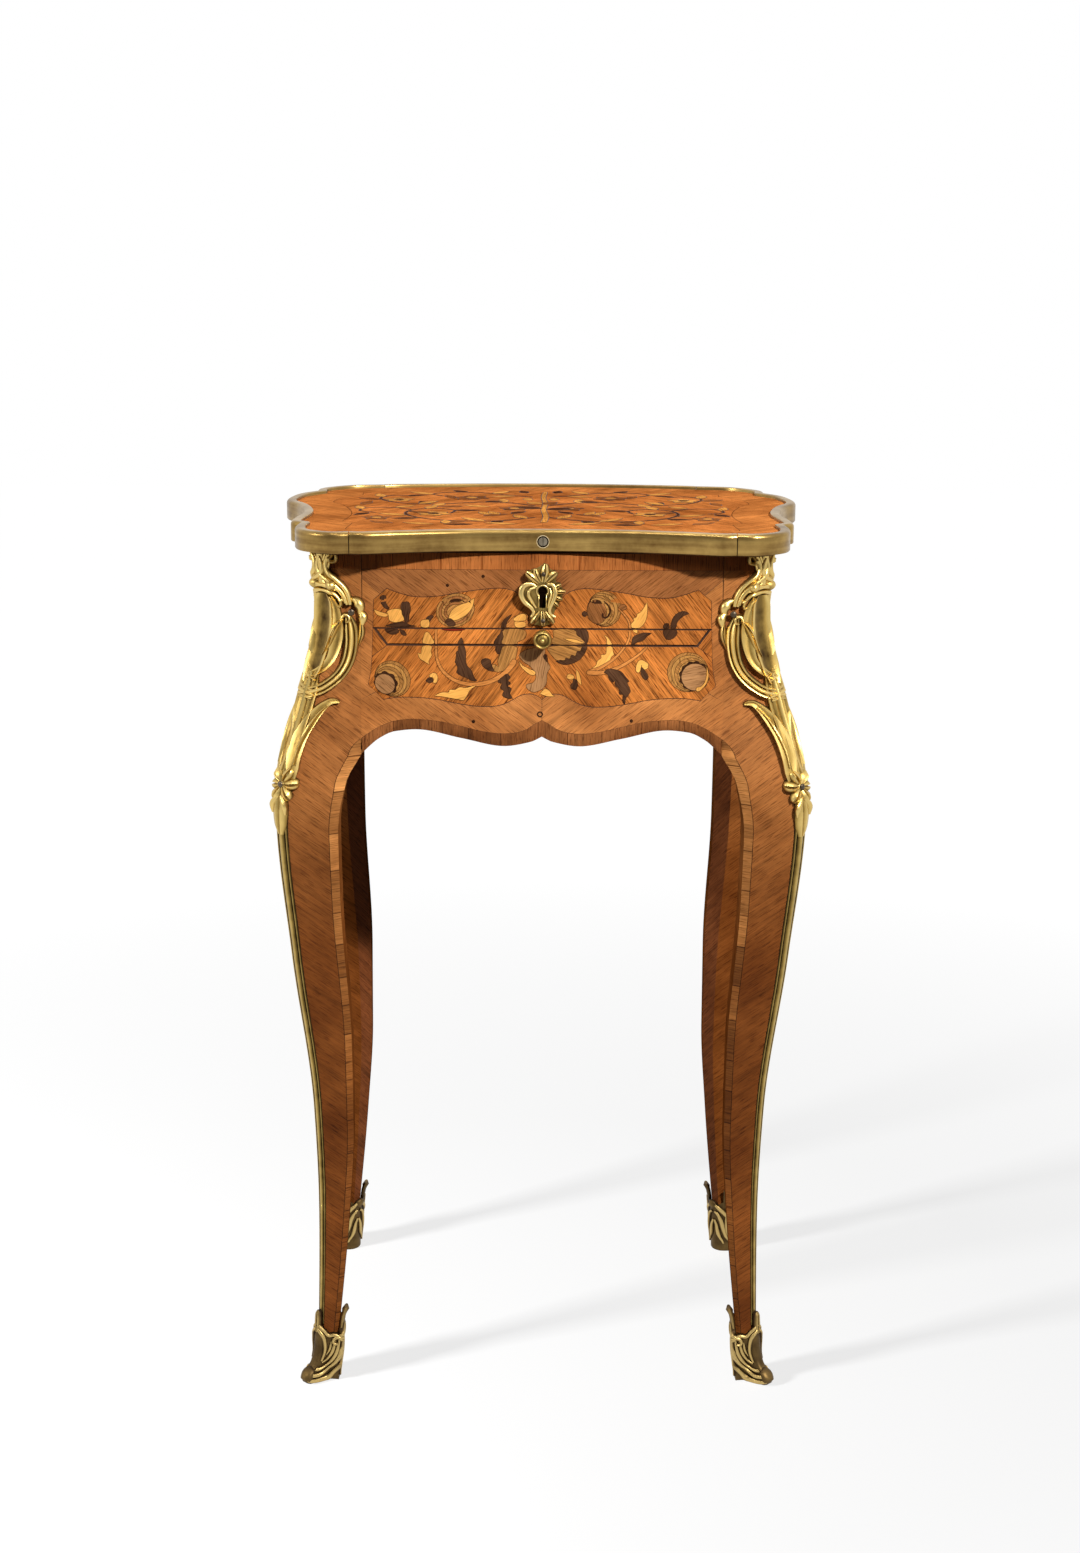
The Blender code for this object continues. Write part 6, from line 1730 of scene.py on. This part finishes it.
def grown(source, tree, keys, values):
    """The mesh that a tree makes of an object, which is then taken away."""
    modifier = source.modifiers.new("grow", "NODES")
    modifier.node_group = tree
    for key, value in values.items():
        modifier[keys[key]] = value
    graph = bpy.context.evaluated_depsgraph_get()
    mesh = bpy.data.meshes.new_from_object(source.evaluated_get(graph))
    source.modifiers.clear()
    bpy.data.objects.remove(source)
    return mesh


def nails():
    tree, keys = nail_tree()
    points, facings, nodes = [], [], []
    for end, side in CORNERS:
        sign_x, sign_y = signs(end, side)
        for level in ("upper", "lower"):
            node = "mount_nail_" + end + "_" + side + "_" + level
            low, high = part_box(node)
            middle = (Vector(low) + Vector(high)) / 2
            if level == "upper":
                facing = Vector((0, sign_y, 0))
                spot = Vector((middle.x, low[1] if sign_y < 0 else high[1], middle.z))
            else:
                facing = Vector((sign_x, sign_y, 0)).normalized()
                spot = on_corner(end, side)((0, ROSETTE_Z), 0.0048)
            points.append(spot - facing * 0.0013)
            facings.append(tuple(facing))
            nodes.append(node)
    mesh = grown(guide("nail_places", points, facing=facings), tree, keys,
                 {"Head radius": 0.0026, "Dome share": 0.55, "Finish": NAIL_STEEL})
    set_out(mesh, "mount_nails", "carcass", nodes, crease=60)
    points, nodes = [], []
    for level in ("upper", "lower"):
        node = "escutcheon_pin_" + level
        low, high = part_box(node)
        points.append(Vector(((low[0] + high[0]) / 2, low[1] - 0.0016, (low[2] + high[2]) / 2)))
        nodes.append(node)
    mesh = grown(guide("pin_places", points, facing=[(0, -1, 0)] * 2), tree, keys,
                 {"Head radius": 0.0018, "Dome share": 0.6, "Finish": NAIL_STEEL})
    set_out(mesh, "plate_pins", "carcass", nodes, crease=60)


nails()


FILLET_TOP, FILLET_FOOT = 0.488, 0.048


def fillets(count=60):
    tree, keys = sweep_tree()
    ring = [(0.28 * k, a, 0) for a, k, _ in GROOVED]
    edges = [(i, (i + 1) % len(ring)) for i in range(len(ring))]
    for end, side in CORNERS:
        section = guide("fillet_section", ring, edges, tone=[tone for _, _, tone in GROOVED])
        sign_x, sign_y = signs(end, side)
        place = on_corner(end, side)
        levels = [lerp(FILLET_TOP, FILLET_FOOT, k / count) for k in range(count + 1)]
        points = [place((0, z), -0.0002) for z in levels]
        facings = [(sign_x * math.sqrt(0.5), sign_y * math.sqrt(0.5), 0)] * (count + 1)
        girths = [arris_chamfer(z) * math.sqrt(2) * 0.98 for z in levels]
        steps = [(i, i + 1) for i in range(count)]
        path = guide("fillet_path", points, steps, facing=facings, girth=girths)
        mesh = grown(path, tree, keys, {"Section": section, "Width": 1.0, "Finish": FILLET_BRASS})
        bpy.data.objects.remove(section)
        tag = end + "_" + side
        set_out(mesh, "brass_fillet_" + tag, "carcass", ["leg_fillet_" + tag], crease=40)


fillets()


# Solids that stay get their finish here
def finish_nodes(material, *names):
    for name in names:
        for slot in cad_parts[name].material_slots:
            slot.material = material


finish_nodes(GAP_SHADOW_GROUND, "front_rail")
finish_nodes(OAK_LONG, "well_floor", "bottom_board", "slide_board", "top_panel")
finish_nodes(OAK, "slide_runner_left", "slide_runner_right")
finish_nodes(STEEL, "lock_case", "lock_bolt", "lock_staple")
finish_nodes(BRASS, *(leaf_of + side for leaf_of in ("hinge_body_", "hinge_lid_", "hinge_pin_")
                      for side in ("left", "right")))
finish_nodes(SCREW_STEEL, *("rim_screw_" + name for name in RUNS))


# Floor, light and camera
FLOOR_FADE = (0.45, 1.4)    # distances over which the floor goes from its shade by the table to white
LAMP_AIM = Vector((0, 0, 0.45))
LAMPS = [
    ("key", (1.12, -1.68, 2.0), 0.14, 84), ("high", (-0.3, -0.95, 2.55), 0.4, 11),
    ("left", (-1.8, -0.9, 1.5), 0.3, 14), ("top", (0.0, 0.9, 2.2), 0.8, 5),
    ("back", (-0.7, 2.0, 0.95), 0.8, 24), ("floor", (-1.7, -0.9, 1.0), 0.3, 70),
]
CAMERA_PLACE = (-0.015, -1.9375, 0.946)
CAMERA_DOWN = 13.62         # degrees below level
CAMERA_ROLL = 0.38
FOCAL, FRAME_HEIGHT = 2410, 1553    # in pixels


def white_floor():
    """Matt white that also glows where it is seen, less so close to the table."""
    recipe = Recipe("white_floor")
    recipe.tree.nodes.clear()
    reach = recipe.node("VectorMath", operation="LENGTH")
    recipe.join(recipe.node("TexCoord").outputs["Object"], reach.inputs[0])
    away, seen = reach.outputs["Value"], recipe.node("LightPath").outputs
    matt, glow, total = recipe.node("BsdfDiffuse"), recipe.node("Emission"), recipe.node("AddShader")
    recipe.join(recipe.spread(away, *FLOOR_FADE, 0.24, 0.04), matt.inputs["Color"])
    shown = recipe.sums("MAXIMUM", seen["Is Camera Ray"], seen["Is Glossy Ray"])
    level = recipe.sums("MULTIPLY", shown, recipe.spread(away, *FLOOR_FADE, 0.8, 1.0))
    recipe.join(level, glow.inputs["Strength"])
    recipe.join(matt.outputs[0], total.inputs[0])
    recipe.join(glow.outputs[0], total.inputs[1])
    recipe.join(total.outputs[0], recipe.node("OutputMaterial").inputs["Surface"])
    return recipe.made


def white_room():
    """White where it is seen, dimmer in what the front of the table mirrors, and faint as a light."""
    recipe = Recipe("studio", "worlds")
    recipe.tree.nodes.clear()
    seen, split = recipe.node("LightPath").outputs, recipe.node("SeparateXYZ")
    recipe.join(recipe.node("TexCoord").outputs["Generated"], split.inputs[0])
    behind = recipe.spread(split.outputs["Y"], -0.8, 0.1, 0.2, 1.0)
    glossy = recipe.sums("MULTIPLY", seen["Is Glossy Ray"], behind)
    direct = recipe.sums("MAXIMUM", seen["Is Camera Ray"], seen["Is Transmission Ray"])
    level = recipe.spread(recipe.sums("MAXIMUM", direct, glossy), 0.0, 1.0, 0.05, 1.0)
    sky = recipe.node("Background")
    sky.inputs["Color"].default_value = (1, 1, 1, 1)
    recipe.join(level, sky.inputs["Strength"])
    recipe.join(sky.outputs[0], recipe.node("OutputWorld").inputs["Surface"])
    return recipe.made


def hang_lamps(scene, floor):
    aside, below = (bpy.data.collections.new(name) for name in ("all_but_the_floor", "the_floor_alone"))
    aside.objects.link(floor)
    below.objects.link(floor)
    aside.collection_objects[0].light_linking.link_state = "EXCLUDE"
    for name, place, size, power in LAMPS:
        lamp = bpy.data.lights.new(name, "AREA")
        lamp.size = size
        lamp.energy = power
        obj = bpy.data.objects.new(name, lamp)
        obj.location = place
        obj.rotation_euler = (LAMP_AIM - Vector(place)).to_track_quat("-Z", "Y").to_euler()
        obj.visible_camera = False
        obj.visible_glossy = name != "back"
        obj.light_linking.receiver_collection = below if name == "floor" else aside
        scene.collection.objects.link(obj)


def studio():
    scene = bpy.context.scene
    scene.view_settings.view_transform = "Standard"
    mesh = bpy.data.meshes.new("floor")
    mesh.from_pydata([(-6, -6, 0), (6, -6, 0), (6, 6, 0), (-6, 6, 0)], [], [(0, 1, 2, 3)])
    mesh.materials.append(white_floor())
    floor = bpy.data.objects.new("floor", mesh)
    scene.collection.objects.link(floor)
    scene.world = white_room()
    hang_lamps(scene, floor)

    lens = bpy.data.cameras.new("camera")
    lens.sensor_width = 36.0
    lens.lens = FOCAL / FRAME_HEIGHT * 36
    camera = bpy.data.objects.new("camera", lens)
    camera.location = CAMERA_PLACE
    heading = math.atan2(CAMERA_PLACE[0], -CAMERA_PLACE[1])
    tilt = Euler((math.radians(90 - CAMERA_DOWN), 0, heading)).to_matrix()
    camera.rotation_euler = (tilt @ Matrix.Rotation(math.radians(CAMERA_ROLL), 3, "Z")).to_euler()
    scene.collection.objects.link(camera)
    scene.camera = camera


studio()
